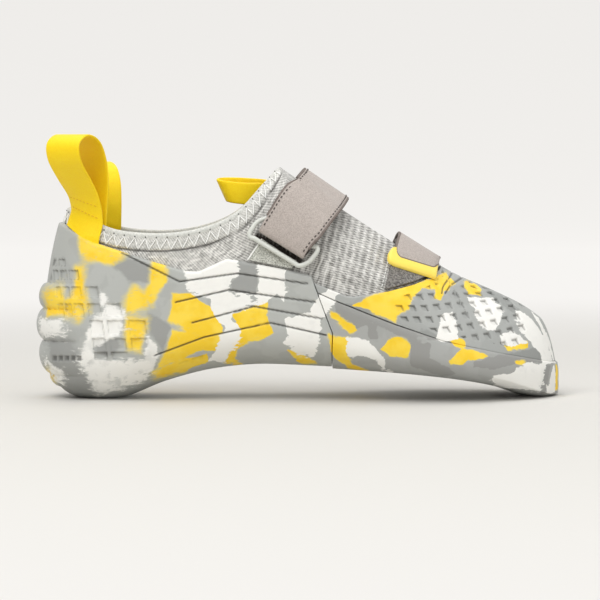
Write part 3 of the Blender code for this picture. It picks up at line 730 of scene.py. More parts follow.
def cloth(name, low, high, weave, gloss=0.75, sheen=0.15, depth=0.22, mottling=0.25):
    """Woven strip: ribs of a weave in millimetres along and across it, with a little mottling."""
    s = Shader(name)
    u, v = s.field("across"), s.field("along")
    warp = s.math("PINGPONG", s.times(u, 1 / weave), 0.5)
    weft = s.math("PINGPONG", s.add(s.times(v, 1 / weave), s.times(warp, 0.6)), 0.5)
    mottle = s.noise(s.place(), 2.4, 3.0, 0.6)
    fuzz = s.noise(s.place(), 0.55, 2.0)
    share = s.add(s.times(mottle, mottling), s.times(fuzz, 1 - mottling))
    colour = s.mix(s.step(share, 0.3, 0.7), low, high)
    pile = s.mix(s.step(fuzz, 0.3, 0.7), PILE_DARK, PILE_LIGHT)
    colour = s.mix(s.field("pile"), colour, pile)
    height = s.add(s.add(warp, weft), s.times(fuzz, 0.5))
    normal = s.bump(height, depth, 0.6)
    return s.finish(colour, gloss, normal, Sheen_Weight=sheen, Specular_IOR_Level=0.3)


def plain(name, low, high, size, roughness, bump_depth=0.08):
    """Moulded plastic or thread: two near colours in soft clouds and a fine grain."""
    s = Shader(name)
    colour = s.mix(s.noise(s.place(), size, 2.0), low, high)
    normal = s.bump(s.noise(s.place(), 0.4, 2.0), bump_depth, 0.5)
    return s.finish(colour, roughness, normal)


def loop_pile():
    """Dark grey fuzzy field that the strap's hooks hold on."""
    s = Shader("loop_pile")
    where = s.place()
    share = s.step(s.noise(where, 0.9, 3.0, 0.7), 0.35, 0.65)
    colour = s.mix(share, rgb(78, 74, 70), rgb(150, 146, 140))
    normal = s.bump(s.noise(where, 0.7, 3.0, 0.7), 0.9, 0.9)
    return s.finish(colour, 0.95, normal, Sheen_Weight=0.3)


# The photograph's view of the shoe
PIXEL = 0.4866  # millimetres of the shoe's middle plane for each pixel of the photograph
IMAGE = 600
PHOTO_MIDDLE, PHOTO_FLOOR = 299.0, 396.5  # the pixel column at X 0 and the pixel row at the floor
HEEL_ZOOM, HEEL_TIMES = (60, 200), 5.807  # corner of an enlarged part in photo pixels, and how many times
FORE_ZOOM, FORE_TIMES = (320, 220), 6.272
AIM = Vector((0.5, 0.0, 47.0)) * MM
ELEVATION = math.radians(3.0)
DISTANCE = 1.5  # metres


def from_zoom(corner, times, places):
    """Places read on an enlarged part of the photograph, in millimetres of the side view."""
    across, down = (np.array(places) / times + corner).T
    return list(zip((across - PHOTO_MIDDLE) * PIXEL, (PHOTO_FLOOR - down) * PIXEL))


def heel_zoom(*places):
    return from_zoom(HEEL_ZOOM, HEEL_TIMES, places)


def fore_zoom(*places):
    return from_zoom(FORE_ZOOM, FORE_TIMES, places)


# Colours of the rubber: outlines of patches in the side view, in millimetres or as read on a zoom
YELLOW_PATCHES = (
    ((-124, 51), (-116, 53), (-112, 40), (-122, 39)),
    ((-122, 13), (-118, 11), (-119, 7), (-122, 9)),
    ((-107, 80), (-86, 73), (-84, 70), (-90, 65), (-98, 66), (-103, 66), (-106, 70)),
    heel_zoom((95, 385), (140, 385), (140, 480), (155, 560), (165, 640), (110, 690), (15, 640), (20, 580),
              (60, 560), (90, 500)),
    heel_zoom((540, 324), (618, 337), (612, 470), (560, 560), (530, 610), (470, 560), (525, 480)),
    heel_zoom((375, 570), (440, 500), (520, 560), (515, 625), (390, 650)),
    heel_zoom((650, 540), (760, 545), (880, 620), (955, 740), (945, 830), (900, 885), (830, 862),
              (560, 985), (600, 900), (655, 760), (730, 765), (640, 690)),
    heel_zoom((1000, 660), (1120, 615), (1200, 590), (1215, 700), (1245, 770), (1100, 822), (1025, 860),
              (1010, 920), (1060, 950), (950, 945), (1000, 840), (1045, 740)),
    heel_zoom((385, 680), (505, 690), (495, 770), (470, 885), (400, 865), (380, 800)),
    heel_zoom((535, 995), (660, 940), (850, 895), (865, 935), (700, 1000), (560, 1030)),
    heel_zoom((1325, 870), (1400, 888), (1500, 945), (1400, 950)),
    fore_zoom((205, 535), (330, 470), (440, 425), (590, 385), (720, 362), (790, 325), (850, 390),
              (830, 425), (770, 450), (755, 505), (715, 490), (725, 430), (640, 425), (580, 480),
              (555, 560), (485, 600), (475, 645), (380, 600), (300, 560)),
    fore_zoom((900, 378), (960, 380), (1005, 430), (1015, 475), (955, 465), (920, 440)),
    fore_zoom((55, 560), (115, 590), (190, 640), (235, 690), (180, 702), (130, 670), (80, 620)),
    fore_zoom((45, 700), (110, 728), (185, 738), (168, 840), (205, 905), (345, 958), (280, 965),
              (180, 920), (100, 870), (55, 780)),
    fore_zoom((460, 722), (520, 738), (575, 790), (558, 865), (450, 850), (365, 812), (420, 760)),
    fore_zoom((850, 850), (880, 808), (960, 808), (1050, 850), (1020, 872), (930, 885), (900, 912),
              (830, 905), (806, 882)),
    fore_zoom((800, 735), (900, 745), (925, 800), (850, 795)),
    fore_zoom((1218, 880), (1290, 876), (1275, 910), (1228, 910)),
    fore_zoom((1500, 915), (1540, 915), (1540, 1075), (1494, 1075)),
    fore_zoom((1165, 785), (1300, 755), (1300, 800), (1180, 815)),
)
WHITE_PATCHES = (
    ((-126, 38), (-115, 38), (-114, 30), (-126, 29)),
    ((-123, 18), (-119, 15), (-114, 9), (-115, 6), (-120, 9)),
    heel_zoom((719, 416), (794, 338), (960, 273), (1030, 278), (1037, 432), (1000, 460), (980, 540),
              (1100, 545), (1142, 600), (1000, 660), (990, 690), (1048, 750), (1042, 820), (1000, 870),
              (960, 945), (860, 935), (920, 830), (952, 740), (880, 640), (870, 580), (755, 530)),
    heel_zoom((1145, 298), (1312, 328), (1314, 520), (1300, 590), (1260, 550), (1150, 615), (1138, 560),
              (1155, 470)),
    heel_zoom((1600, 460), (1480, 640), (1305, 690), (1320, 780), (1300, 830), (1380, 885), (1470, 915),
              (1515, 820), (1515, 700), (1600, 600)),
    heel_zoom((235, 520), (300, 600), (375, 640), (372, 700), (350, 790), (290, 800), (195, 860),
              (200, 920), (330, 935), (490, 925), (500, 785), (565, 830), (575, 900), (545, 980),
              (470, 1055), (220, 1130), (180, 1060), (118, 960), (118, 880), (160, 760), (200, 690),
              (250, 640)),
    heel_zoom((-30, 960), (10, 980), (22, 1010), (18, 1060), (-30, 1080)),
    fore_zoom((168, 736), (290, 752), (372, 820), (407, 870), (412, 920), (485, 958), (455, 970),
              (390, 935), (360, 880), (270, 850), (172, 852)),
    fore_zoom((758, 600), (830, 576), (862, 650), (862, 742), (820, 752), (770, 760), (722, 742),
              (735, 700), (750, 650)),
    fore_zoom((915, 475), (1085, 488), (1145, 560), (1135, 640), (1100, 692), (1050, 692), (980, 620),
              (968, 560)),
    fore_zoom((1225, 565), (1290, 588), (1380, 668), (1445, 760), (1485, 860), (1492, 905), (1408, 902),
              (1385, 830), (1300, 752), (1250, 690)),
    fore_zoom((1125, 722), (1200, 688), (1250, 715), (1300, 765), (1200, 782), (1140, 765)),
    fore_zoom((1080, 968), (1220, 948), (1232, 908), (1340, 892), (1412, 903), (1402, 980), (1380, 1075),
              (1085, 1040)),
    fore_zoom((1452, 908), (1498, 905), (1496, 1090), (1425, 1085)),
    fore_zoom((1385, 592), (1435, 640), (1490, 740), (1525, 860), (1530, 905), (1492, 905), (1485, 860),
              (1420, 700)),
    fore_zoom((0, 470), (90, 405), (155, 430), (152, 460), (85, 485), (60, 560), (0, 640), (-60, 700),
              (-60, 560)),
)
DARK_PATCHES = (
    heel_zoom((-60, 780), (60, 800), (120, 880), (125, 960), (185, 1060), (222, 1130), (100, 1160),
              (-60, 1100)),
    heel_zoom((300, 320), (540, 370), (520, 480), (400, 470), (310, 380)),
    heel_zoom((200, 830), (330, 800), (360, 850), (290, 900), (210, 900)),
    heel_zoom((510, 640), (640, 740), (600, 880), (540, 800), (500, 720)),
    heel_zoom((740, 620), (830, 640), (830, 720), (760, 700)),
    heel_zoom((1040, 288), (1140, 290), (1150, 470), (1135, 560), (1000, 540), (985, 470), (1037, 440)),
    fore_zoom((80, 500), (330, 560), (470, 640), (620, 700), (600, 745), (460, 715), (330, 640),
              (200, 690), (100, 600)),
    fore_zoom((300, 640), (360, 640), (360, 740), (300, 730)),
    fore_zoom((560, 740), (700, 770), (690, 860), (850, 960), (780, 985), (560, 900)),
    fore_zoom((960, 880), (1200, 830), (1340, 800), (1400, 830), (1410, 890), (1230, 900), (1100, 940),
              (950, 930)),
    fore_zoom((1405, 900), (1452, 905), (1420, 1080), (1375, 1080)),
    fore_zoom((640, 680), (760, 720), (720, 760), (600, 720)),
    fore_zoom((1040, 430), (1160, 470), (1260, 560), (1220, 590), (1140, 540)),
)
PATCH_FAR = 12.0  # patches are only measured up to this far
MARBLE_SOFT = ((-88, -48), (1.6, 0.3))  # softness of the colours' edges, from heel to waist
INNER_DRIFT = 0.35  # how far the patches are drawn out of line on the inner side, as a share of Y


def line_distance(x, z, path):
    """Distance to a chain of straight lines in the side view."""
    best = np.full(np.shape(x), np.inf)
    for start, end in zip(path, path[1:]):
        start, end = np.array(start, float), np.array(end, float)
        run = end - start
        share = ((x - start[0]) * run[0] + (z - start[1]) * run[1]) / np.dot(run, run)
        share = np.clip(share, 0, 1)
        best = np.minimum(best, np.hypot(x - start[0] - share * run[0], z - start[1] - share * run[1]))
    return best


def inside_distance(x, z, corners):
    """Millimetres inside a closed outline, negative outside."""
    closed = (*corners, corners[0])
    inside = np.zeros(x.shape, bool)
    for (x0, z0), (x1, z1) in zip(closed, closed[1:]):
        if z0 != z1:
            inside ^= ((z0 > z) != (z1 > z)) & (x < x0 + (z - z0) * (x1 - x0) / (z1 - z0))
    return np.where(inside, 1, -1) * line_distance(x, z, closed)


def patch_field(patches, x, z):
    """Millimetres inside the nearest patch, negative outside."""
    best = np.full(x.shape, -PATCH_FAR)
    for corners in patches:
        low, high = np.min(corners, axis=0) - PATCH_FAR, np.max(corners, axis=0) + PATCH_FAR
        near = (x > low[0]) & (x < high[0]) & (z > low[1]) & (z < high[1])
        best[near] = np.maximum(best[near], inside_distance(x[near], z[near], corners))
    return best


def side_view(points):
    """Where points lie in the photograph's side view, in millimetres of the shoe's middle plane."""
    x, y, z = np.moveaxis(points, -1, 0)
    near = -np.abs(y)
    aim_x, aim_z = AIM.x / MM, AIM.z / MM
    scale = 1 / (1 + near * math.cos(ELEVATION) * MM / DISTANCE)
    up = (z - aim_z) * math.cos(ELEVATION) + near * math.sin(ELEVATION)
    return aim_x + (x - aim_x) * scale, aim_z + up * scale


def marbling(points, painted_shade):
    """Fields that the rubber's material reads. The inner side has the same patches, drawn out of line."""
    x, z = side_view(points)
    drawn = x + INNER_DRIFT * np.maximum(points[..., 1], 0)
    return {
        "yellow": patch_field(YELLOW_PATCHES, drawn, z),
        "white": patch_field(WHITE_PATCHES, drawn, z),
        "dark": patch_field(DARK_PATCHES, drawn, z),
        "soft": np.interp(x, *MARBLE_SOFT),
        # painted shade in the rubber's recesses
        "painted_shade": painted_shade,
    }


# Relief of the rubber


def pit(x, y, half_x, half_y, edge):
    """1 inside a rectangle, 0 outside, with a sloped edge of this width."""
    inside = np.minimum(half_x - np.abs(x), half_y - np.abs(y))
    return smoothstep(inside / edge + 0.5)


# Windows sunk in the heel: columns of squares, each wider than the one behind it
WINDOW_COLUMNS = (-118.6, -115.6, -111.9, -107.0, -99.4, -90.2, -79.6)
WINDOW_WIDTHS = (1.7, 2.2, 3.0, 4.4, 6.0, 7.6, 8.0)
WindowRow = namedtuple("WindowRow", "z height first last")
WINDOW_ROWS = (
    WindowRow(65.3, 3.2, 0, 2),
    WindowRow(59.3, 4.4, 0, 3),
    WindowRow(50.9, 5.2, 1, 4),
    WindowRow(42.2, 6.2, 1, 5),
    WindowRow(33.6, 7.0, 4, 6),
    WindowRow(25.6, 5.6, 4, 6),
    WindowRow(19.9, 3.4, 4, 5),
)
WINDOW_DEPTH = 1.25
WINDOW_EDGE = 0.6  # width of a window's sloped wall
BARE_BACK = 10.0  # half the width of the strip up the middle of the back that has no windows
BARE_FADE = 3.0  # width over which the windows fade out beside that strip
WINDOW_SHADE = 0.65  # painted shade along the small windows' walls; large ones get half as much
DEEP_SHADE = 0.36  # painted shade at a window's deep corner, as a share of that
SMALL_WINDOW = 5.0  # windows lower than this are small
WINDOW_TILT = 0.85  # how much shallower a window is at one corner; the corners take turns
WINDOW_LEAN = 0.14  # slope of the columns of windows, lower ones further forward
LEAN_MIDDLE = 42.0  # height at which the columns stand at their X
# Small slots low on the heel and along the arch's edge: middle, half length and half height
Slot = namedtuple("Slot", "x z half_x half_z")
SLOTS = (
    *(Slot(x, 18.7, 1.0, 1.2) for x in (-119.0, -116.0, -113.0, -110.0, -107.0)),
    Slot(-69.5, 11.4, 2.6, 1.2),
    Slot(-63.0, 13.4, 2.4, 1.2),
    Slot(-56.2, 15.8, 2.4, 1.2),
    Slot(-49.3, 18.2, 2.6, 1.2),
)
SLOT_RISE = 0.3  # slope of the slots along the arch
LONG_SLOT = 2.0  # the slots along the arch have a half length over this
SLOT_DEPTH = 1.0
SLOT_EDGE = 0.7
# painted shade in the slots
SLOT_SHADE = 0.55
# Flex lines along the side, each a chain of X and Z
SIDE_LINES = (
    ((-86, 70), (-58, 56), (-30, 60), (4, 55)),
    ((-60, 46), (-34, 52), (8, 46)),
    ((-52, 36), (-22, 44), (11, 38)),
    ((-70, 20), (-46, 29), (-14, 36), (13, 30)),
)
LINE_WIDTH = 0.9
LINE_DEPTH = 0.8
# painted shade in the flex lines along the side
LINE_SHADE = 0.8
LINE_REACH = 1.4  # where a line's sloped edge ends, in half widths


def heel_relief(points):
    """Depth of the heel shell's windows, slots and lines at each point, and how much painted shade darkens it
    there.
    """
    x, z = side_view(points)
    beside = smoothstep((np.abs(points[..., 1]) - BARE_BACK) / BARE_FADE)
    depth, painted_shade = np.zeros(x.shape), np.zeros(x.shape)
    for k, row in enumerate(WINDOW_ROWS):
        for i in range(row.first, row.last + 1):
            half_x, half_z = WINDOW_WIDTHS[i] / 2, row.height / 2
            right, up = x - WINDOW_COLUMNS[i] + WINDOW_LEAN * (z - LEAN_MIDDLE), z - row.z
            window = pit(right, up, half_x, half_z, WINDOW_EDGE) * beside
            turned = 1 if (i + k) % 2 else -1
            corner = np.clip((up / half_z - turned * right / half_x) / 2, -1, 1)
            depth = np.maximum(depth, WINDOW_DEPTH * window * (1 - WINDOW_TILT * (0.5 - 0.5 * corner)))
            # painted shade: darker along each window's walls and at its deep corner
            walls = 4 * window * (1 - window) * (0.75 + 0.25 * corner)
            shade = WINDOW_SHADE if row.height < SMALL_WINDOW else WINDOW_SHADE / 2
            painted_shade = np.maximum(painted_shade, shade * (walls + DEEP_SHADE * window * np.clip(corner, 0, 1)))
    for slot in SLOTS:
        rise = SLOT_RISE * (x - slot.x) if slot.half_x > LONG_SLOT else 0.0
        hole = pit(x - slot.x, z - slot.z - rise, slot.half_x, slot.half_z, SLOT_EDGE) * beside
        depth = np.maximum(depth, SLOT_DEPTH * hole)
        painted_shade = np.maximum(painted_shade, SLOT_SHADE * hole)
    for path in SIDE_LINES:
        line = smoothstep(LINE_REACH - line_distance(x, z, path) / (LINE_WIDTH / 2))
        depth = np.maximum(depth, LINE_DEPTH * line)
        painted_shade = np.maximum(painted_shade, LINE_SHADE * line)
    return depth, painted_shade


HEEL_END, ARCH_START = 2.5, 5.0  # columns between which the rubber below goes from heel to arch
UNDER_END = 0.9  # row where the thick rubber under the foot has ended


def heel_thickness(column, row, z):
    """Rubber over the heel and arch: thick under the heel, with ribs round its back."""
    steps = steps_from_heel(column)
    forward = np.clip((steps - HEEL_END) / (ARCH_START - HEEL_END), 0, 1)
    under = HEEL_UNDER + (ARCH_UNDER - HEEL_UNDER) * forward
    low = np.clip(1 - row / UNDER_END, 0, 1)
    thickness = HEEL_SIDE + (under - HEEL_SIDE) * low
    fade = np.cos(np.clip(steps / RIB_REACH, 0, 1) * math.pi / 2) ** 0.7
    for rib in HEEL_RIBS:
        across = np.clip((z - rib.low) / (rib.high - rib.low), 0, 1)
        thickness = thickness + fade * rib.out * np.sin(across * math.pi) ** 0.45
    return thickness


def on_floor(points):
    """Flattens whatever would reach below the floor."""
    points[..., 2] = np.maximum(points[..., 2], 0)
    return points


def rounded_rim(distance, radius, most=math.inf):
    """How much a rim of this radius takes off at a distance from it, up to most."""
    share = np.clip(1 - distance / radius, 0, 1)
    return np.minimum(radius * (1 - np.sqrt(1 - share**2 + 1e-9)), most)


def travel_from_end(points):
    """Distance along each column to its last row."""
    step = np.linalg.norm(np.diff(points, axis=1), axis=-1)
    back = np.cumsum(step[:, ::-1], axis=1)[:, ::-1]
    return np.concatenate([back, np.zeros((len(points), 1))], axis=1)


def dense(parts):
    """Numbers over stretches, each given as (from, to, count)."""
    runs = [np.linspace(first, last, count, endpoint=False) for first, last, count in parts]
    return np.concatenate([*runs, [parts[-1][1]]])


BACK = 3  # columns from the middle of the back to where the shell's mesh becomes coarser
RELIEF_LOW, RELIEF_FADE = 0.5, 0.2  # row where the relief starts, and rows over which it grows
SHELL_RIM, SHELL_RIM_CUT = 1.6, 1.5


def heel_shell():
    end = SOLE_START - SEAM
    columns = dense(((-end, -BACK, 160), (-BACK, BACK, 224), (BACK, end, 160)))
    shares = np.concatenate([np.linspace(0, 0.3, 16, endpoint=False), np.linspace(0.3, 1, 121)])
    rows = shares * row_at(columns, SHELL_EDGE)[:, None]
    grid = lattice(columns, rows)
    bed = last_point(*grid)
    thickness = heel_thickness(*grid, bed[..., 2])
    skin = off_last(*grid, CLEARANCE + thickness)
    depth, painted_shade = heel_relief(skin)
    shown = smoothstep((grid[1] - RELIEF_LOW) / RELIEF_FADE)
    rim = rounded_rim(travel_from_end(bed), SHELL_RIM, SHELL_RIM_CUT)
    thickness = thickness - depth * shown - rim
    outside = on_floor(off_last(*grid, CLEARANCE + thickness))
    inside = off_last(*grid, np.full(rows.shape, CLEARANCE))
    fields = marbling(skin, painted_shade * shown)
    piece = wall("heel_shell_fine", outside, inside, False, HEEL_RUBBER, fields, skip=4)
    dress("heel_shell")


def front_columns(count):
    start = SOLE_START + SEAM
    return np.linspace(start, ROUND - start, count)


TOE_EDGE = (10.0, 12.5)  # columns between which the outsole's lower edge turns from round to sharp
SOLE_LOW, SOLE_FADE = 0.5, 0.4  # row where the thick rubber under the sole ends, and rows of its fading
SOLE_RIM, SOLE_RIM_CUT = 0.6, 0.5


def squared(column, row):
    """Factor that carries the outsole's thickness out to a sharp lower edge round the toe."""
    normal = np.abs(last_normal(column, row))
    level = np.hypot(normal[..., 0], normal[..., 1])
    front = smoothstep((steps_from_heel(column) - TOE_EDGE[0]) / (TOE_EDGE[1] - TOE_EDGE[0]))
    return 1 + front * (1 / np.maximum(level, normal[..., 2]) - 1)


def outsole():
    columns = front_columns(421)
    shares = np.concatenate([np.linspace(0, 0.5, 12, endpoint=False), np.linspace(0.5, 1, 37)])
    rows = shares * row_at(columns, SOLE_EDGE)[:, None]
    grid = lattice(columns, rows)
    low = np.clip(1 - (grid[1] - SOLE_LOW) / SOLE_FADE, 0, 1)
    thickness = (SOLE_SIDE + (SOLE_UNDER - SOLE_SIDE) * low) * squared(*grid)
    skin = off_last(*grid, CLEARANCE + thickness)
    rim = rounded_rim(travel_from_end(last_point(*grid)), SOLE_RIM, SOLE_RIM_CUT)
    outside = on_floor(off_last(*grid, CLEARANCE + thickness - rim))
    inside = off_last(*grid, np.full(rows.shape, CLEARANCE))
    piece = wall("outsole_fine", outside, inside, False, SOLE_RUBBER, marbling(skin, 0 * rows), skip=4)
    dress("outsole")


# Wedge notches over the toes, and the flex lines behind them, each a chain of X and Z
NOTCH_PITCH = (6.4, 5.9)
NOTCH_TURN = math.radians(22)
NOTCH_HALF = 1.6
NOTCH_EDGE = 0.5
NOTCH_DEPTH = 1.15
NOTCH_FIELD = (47, 110)  # from X to X
NOTCH_MARGIN = 4.0  # distance of the notches from the patch's edges
NOTCH_SHADE, NOTCH_ALL_SHADE = 0.5, 0.1  # painted shade of a notch at its deep corner and all over it
FLEX_LINES = (
    ((68.4, 51.8), (69.3, 54.8), (72.4, 58.2), (76.7, 62.5)),
    ((70.2, 51.8), (73.0, 55.0), (77.4, 57.2), (83.5, 59.5)),
)
FLEX_WIDTH = 0.8
FLEX_DEPTH = 0.5
# painted shade in the flex lines over the toes
FLEX_SHADE = 0.75
FLEX_REACH = 1.5  # where a line's sloped edge ends, in half widths
FLEX_CLEAR, FLEX_FADE = 2.2, 1.2  # no notch this near a line, and how far out they come back
PATCH_SEAM = 0.4 * SEAM  # gap between the patch and the outsole's edge, in rows
PATCH_LEAST = 0.04  # fewest rows that the patch has anywhere
PATCH_RIM, PATCH_RIM_CUT = 1.0, 0.9
SEAM_RIM, SEAM_RIM_CUT = 0.3, 0.2


def patch_relief(points, up, from_edge):
    """Depth of the toe patch's wedge notches and the flex lines over the toes, and how much painted shade
    darkens them.
    """
    x = points[..., 0]
    turn, climb = math.cos(NOTCH_TURN), math.sin(NOTCH_TURN)
    right = (x * turn + up * climb) / NOTCH_PITCH[0]
    rise = (up * turn - x * climb) / NOTCH_PITCH[1]
    in_right = (np.mod(right, 1) - 0.5) * NOTCH_PITCH[0]
    in_rise = (np.mod(rise, 1) - 0.5) * NOTCH_PITCH[1]
    notch = pit(in_right, in_rise, NOTCH_HALF, NOTCH_HALF, NOTCH_EDGE)
    centre = x - in_right * turn + in_rise * climb
    field = (centre > NOTCH_FIELD[0]) & (centre < NOTCH_FIELD[1])
    field = field & (from_edge > NOTCH_MARGIN) & (up > NOTCH_MARGIN)
    notch = np.where(field, notch, 0)
    # Each notch is deepest in its upper right corner and runs out to the lower left
    corner = np.maximum(in_rise, in_right) / NOTCH_HALF
    wedge = notch * np.clip(0.5 + 0.3 * (in_rise + in_right) / NOTCH_HALF, 0, 1)
    # painted shade in each notch's deep upper right corner
    shade = notch * smoothstep((corner - 0.35) / 0.5)
    apart = np.full(x.shape, PATCH_FAR)
    for path in FLEX_LINES:
        bow = spline(path, np.linspace(0, len(path) - 1, 16), False)
        apart = np.minimum(apart, line_distance(x, points[..., 2], bow))
    lines = smoothstep(FLEX_REACH - apart / (FLEX_WIDTH / 2))
    clear = smoothstep((apart - FLEX_CLEAR) / FLEX_FADE)
    depth = NOTCH_DEPTH * wedge * clear + FLEX_DEPTH * lines
    # painted shade in the notches and flex lines
    dark = (NOTCH_SHADE * shade + NOTCH_ALL_SHADE * notch) * clear
    return depth, np.clip(dark + FLEX_SHADE * lines, 0, 1)


def toe_patch():
    columns = front_columns(601)
    low = row_at(columns, SOLE_EDGE)[:, None] + PATCH_SEAM
    high = np.maximum(row_at(columns, PATCH_EDGE, PATCH_EDGE_INNER)[:, None], low + PATCH_LEAST)
    rows = low + np.linspace(0, 1, 121) * (high - low)
    grid = lattice(columns, rows)
    bed = last_point(*grid)
    up = girth(bed)
    from_top = travel_from_end(bed)
    ends_open = high < ROW_TOP - 1e-6
    skin = off_last(*grid, np.full(rows.shape, PATCH_CLEARANCE + TOE_PATCH))
    depth, painted_shade = patch_relief(skin, up, from_top)
    rim = np.where(ends_open, rounded_rim(from_top, PATCH_RIM, PATCH_RIM_CUT), 0)
    rim = rim + rounded_rim(up, SEAM_RIM, SEAM_RIM_CUT)
    outside = off_last(*grid, PATCH_CLEARANCE + TOE_PATCH - depth - rim)
    inside = off_last(*grid, np.full(rows.shape, PATCH_CLEARANCE))
    piece = wall("toe_patch_fine", outside, inside, False, PATCH_RUBBER, marbling(skin, painted_shade), skip=4)
    dress("toe_patch")


# Knit bootie

KNIT_LOW = 0.66  # row of the knit's lower edge
CUFF_FADE = 0.8  # width of the step at the cuff's lower edge
CUFF_SEAM, SEAM_DEPTH, SEAM_WIDTH = 0.8, 0.4, 0.45  # seam below the cuff, sunk and darkened with painted shade: how far, depth and half width
HEM_RIM, HEM_CUT = 1.3, 1.2
HEM_BULGE, BULGE_AT, BULGE_WIDTH = 0.35, 1.6, 1.1  # soft roll along the collar's edge
RIB_PITCH = 3.6
RIB_RISE = math.radians(76)
PANEL_START, PANEL_FADE = -46.0, 4.0  # where the ribbed panel starts across the upper strap's slant
# Painted shadow on the knit under the upper ring's opening, where the strap and ring shade it, in the side
# view
RING_SHADOW_OUTLINE = ((-19.5, 81.5), (3.0, 68.5), (0.5, 64.5), (-22.5, 77.8))


def upper():
    columns = np.arange(0, ROUND, 1 / 14)
    rows = dense(((KNIT_LOW, ROW_SIDE, 8), (ROW_SIDE, 1.8, 31), (1.8, ROW_TOP, 21)))
    grid = lattice(columns, rows)
    bed = last_point(*grid)
    collar = travel_from_end(bed)
    steps = steps_from_heel(columns)[:, None]
    behind = smoothstep((TONGUE + 0.05 - steps) / 0.4)
    cuff = smoothstep((CUFF_DEPTH + CUFF_FADE / 2 - collar) / CUFF_FADE) * behind
    seam = np.exp(-(((collar - CUFF_DEPTH - CUFF_SEAM) / SEAM_WIDTH) ** 2)) * behind
    hem = rounded_rim(collar, HEM_RIM, HEM_CUT) * (steps < TONGUE)
    bulge = HEM_BULGE * np.exp(-(((collar - BULGE_AT) / BULGE_WIDTH) ** 2)) * behind
    outside = off_last(*grid, CUFF_STEP * cuff - SEAM_DEPTH * seam + bulge - hem)
    inside = off_last(*grid, -KNIT + 0.5 * hem)
    around = travel(bed[:, bed.shape[1] // 2])
    x, z = bed[..., 0], bed[..., 2]
    panel = smoothstep((across_strap(UPPER_STRAP, bed) - PANEL_START) / PANEL_FADE) * (1 - cuff)
    fields = {
        "around": np.broadcast_to(around[:, None], collar.shape),
        "down": collar,
        "cuff": cuff,
        "seam": seam,
        # painted shadow under the upper ring's opening, on the outer side only
        "ring_shadow": smoothstep(inside_distance(x, z, RING_SHADOW_OUTLINE) / 0.8 + 0.5) * (bed[..., 1] < 0),
        "panel": panel,
        "rib": (x * math.sin(RIB_RISE) - z * math.cos(RIB_RISE)) / RIB_PITCH,
        "along_rib": x * math.cos(RIB_RISE) + z * math.sin(RIB_RISE),
    }
    piece = wall("upper_knit", outside, inside, True, knit(), fields)
    dress("upper")


ZIGZAG_PITCH = 5.0
ZIGZAG_HIGH, ZIGZAG_LOW = 2.9, 8.1  # distances of its corners from the collar's edge
ZIGZAG_END = 7.7  # columns from the heel to where the stitch ends by the tongue
ZIGZAG_STEPS = 5  # steps of the thread between two corners
ZIGZAG_SINK = 0.3  # how far the thread goes in at its corners
THREAD = 0.3
# Needle marks above the zigzag: how far above, and four places along one with height and thickness
MARK_ABOVE = 0.7
MARK_PLACES = np.array([-0.3, -0.1, 0.1, 0.3])
MARK_HEIGHTS = np.array([0.15, 0.36, 0.36, 0.15])
MARK_TAPER = np.array([0.1, 0.3, 0.3, 0.1])
CUFF_ROWS = 0.15  # rows under the collar's edge that the cuff's run is measured over


def cuff_point(column, distance, height):
    """Point over the cuff at a distance from the collar's edge."""
    run = last_point(column, ROW_TOP) - last_point(column, ROW_TOP - CUFF_ROWS)
    length = np.linalg.norm(run, axis=-1) / CUFF_ROWS
    return off_last(column, ROW_TOP - distance / length, height)


def collar_zigzag():
    columns = np.linspace(-ZIGZAG_END, ZIGZAG_END, 1200)
    edge = last_point(columns, np.full(columns.shape, ROW_TOP))
    along = travel(edge)
    count = int(along[-1] / ZIGZAG_PITCH) * 2
    places = np.linspace(0, along[-1], count * ZIGZAG_STEPS + 1)
    numbers = np.arange(len(places))
    swing = np.abs(np.mod(numbers / ZIGZAG_STEPS, 2) - 1)
    at = np.interp(places, along, columns)
    distance = ZIGZAG_HIGH + (ZIGZAG_LOW - ZIGZAG_HIGH) * swing
    sunk = ZIGZAG_SINK * np.maximum(0, np.abs(swing - 0.5) * 2 - 0.75) / 0.25
    path = cuff_point(at, distance, CUFF_STEP + THREAD - sunk)
    zigzag = tubes("collar_zigzag", [path], THREAD, THREAD_WHITE, sides=THREAD_SIDES)
    marked = at[np.mod(numbers, 2 * ZIGZAG_STEPS) == ZIGZAG_STEPS]
    above, out = ZIGZAG_HIGH - MARK_ABOVE + MARK_PLACES, CUFF_STEP + MARK_HEIGHTS
    dots = [cuff_point(np.full(len(above), column), above, out) for column in marked]
    marks = tubes("collar_needle_marks", dots, MARK_TAPER, THREAD_DARK, sides=THREAD_SIDES)


INSOLE_EDGE = 0.74  # row of the footbed's edge
INSOLE_DOWN = -KNIT - 2.4 * CLEARANCE  # its lower face, just inside the knit
INSOLE_RIM, INSOLE_RIM_CUT = 1.2, 1.0


def insole():
    columns = np.arange(0, ROUND, 0.125)
    rows = np.linspace(0, INSOLE_EDGE, 21)
    grid = lattice(columns, rows)
    edge = rounded_rim(travel_from_end(last_point(*grid)), INSOLE_RIM, INSOLE_RIM_CUT)
    top = off_last(*grid, INSOLE_DOWN - INSOLE + edge)
    bottom = off_last(*grid, np.full(grid[1].shape, INSOLE_DOWN))
    around = np.cumsum(np.linalg.norm(np.diff(top[:, -1], axis=0, prepend=top[-1:, -1]), axis=-1))
    fields = {"across": girth(top), "along": np.broadcast_to(around[:, None], grid[1].shape)}
    lining = cloth("footbed", rgb(120, 120, 118), rgb(150, 150, 147), 1.1)
    piece = wall("insole_footbed", bottom, top, True, lining, fields)
    dress("insole")


# Straps, rings and tabs

STRAPS_BEHIND = 3.0  # column that both straps lie in front of


def across_strap(strap, point):
    rise = math.radians(strap.rise)
    return point[..., 0] * math.sin(rise) - point[..., 2] * math.cos(rise)


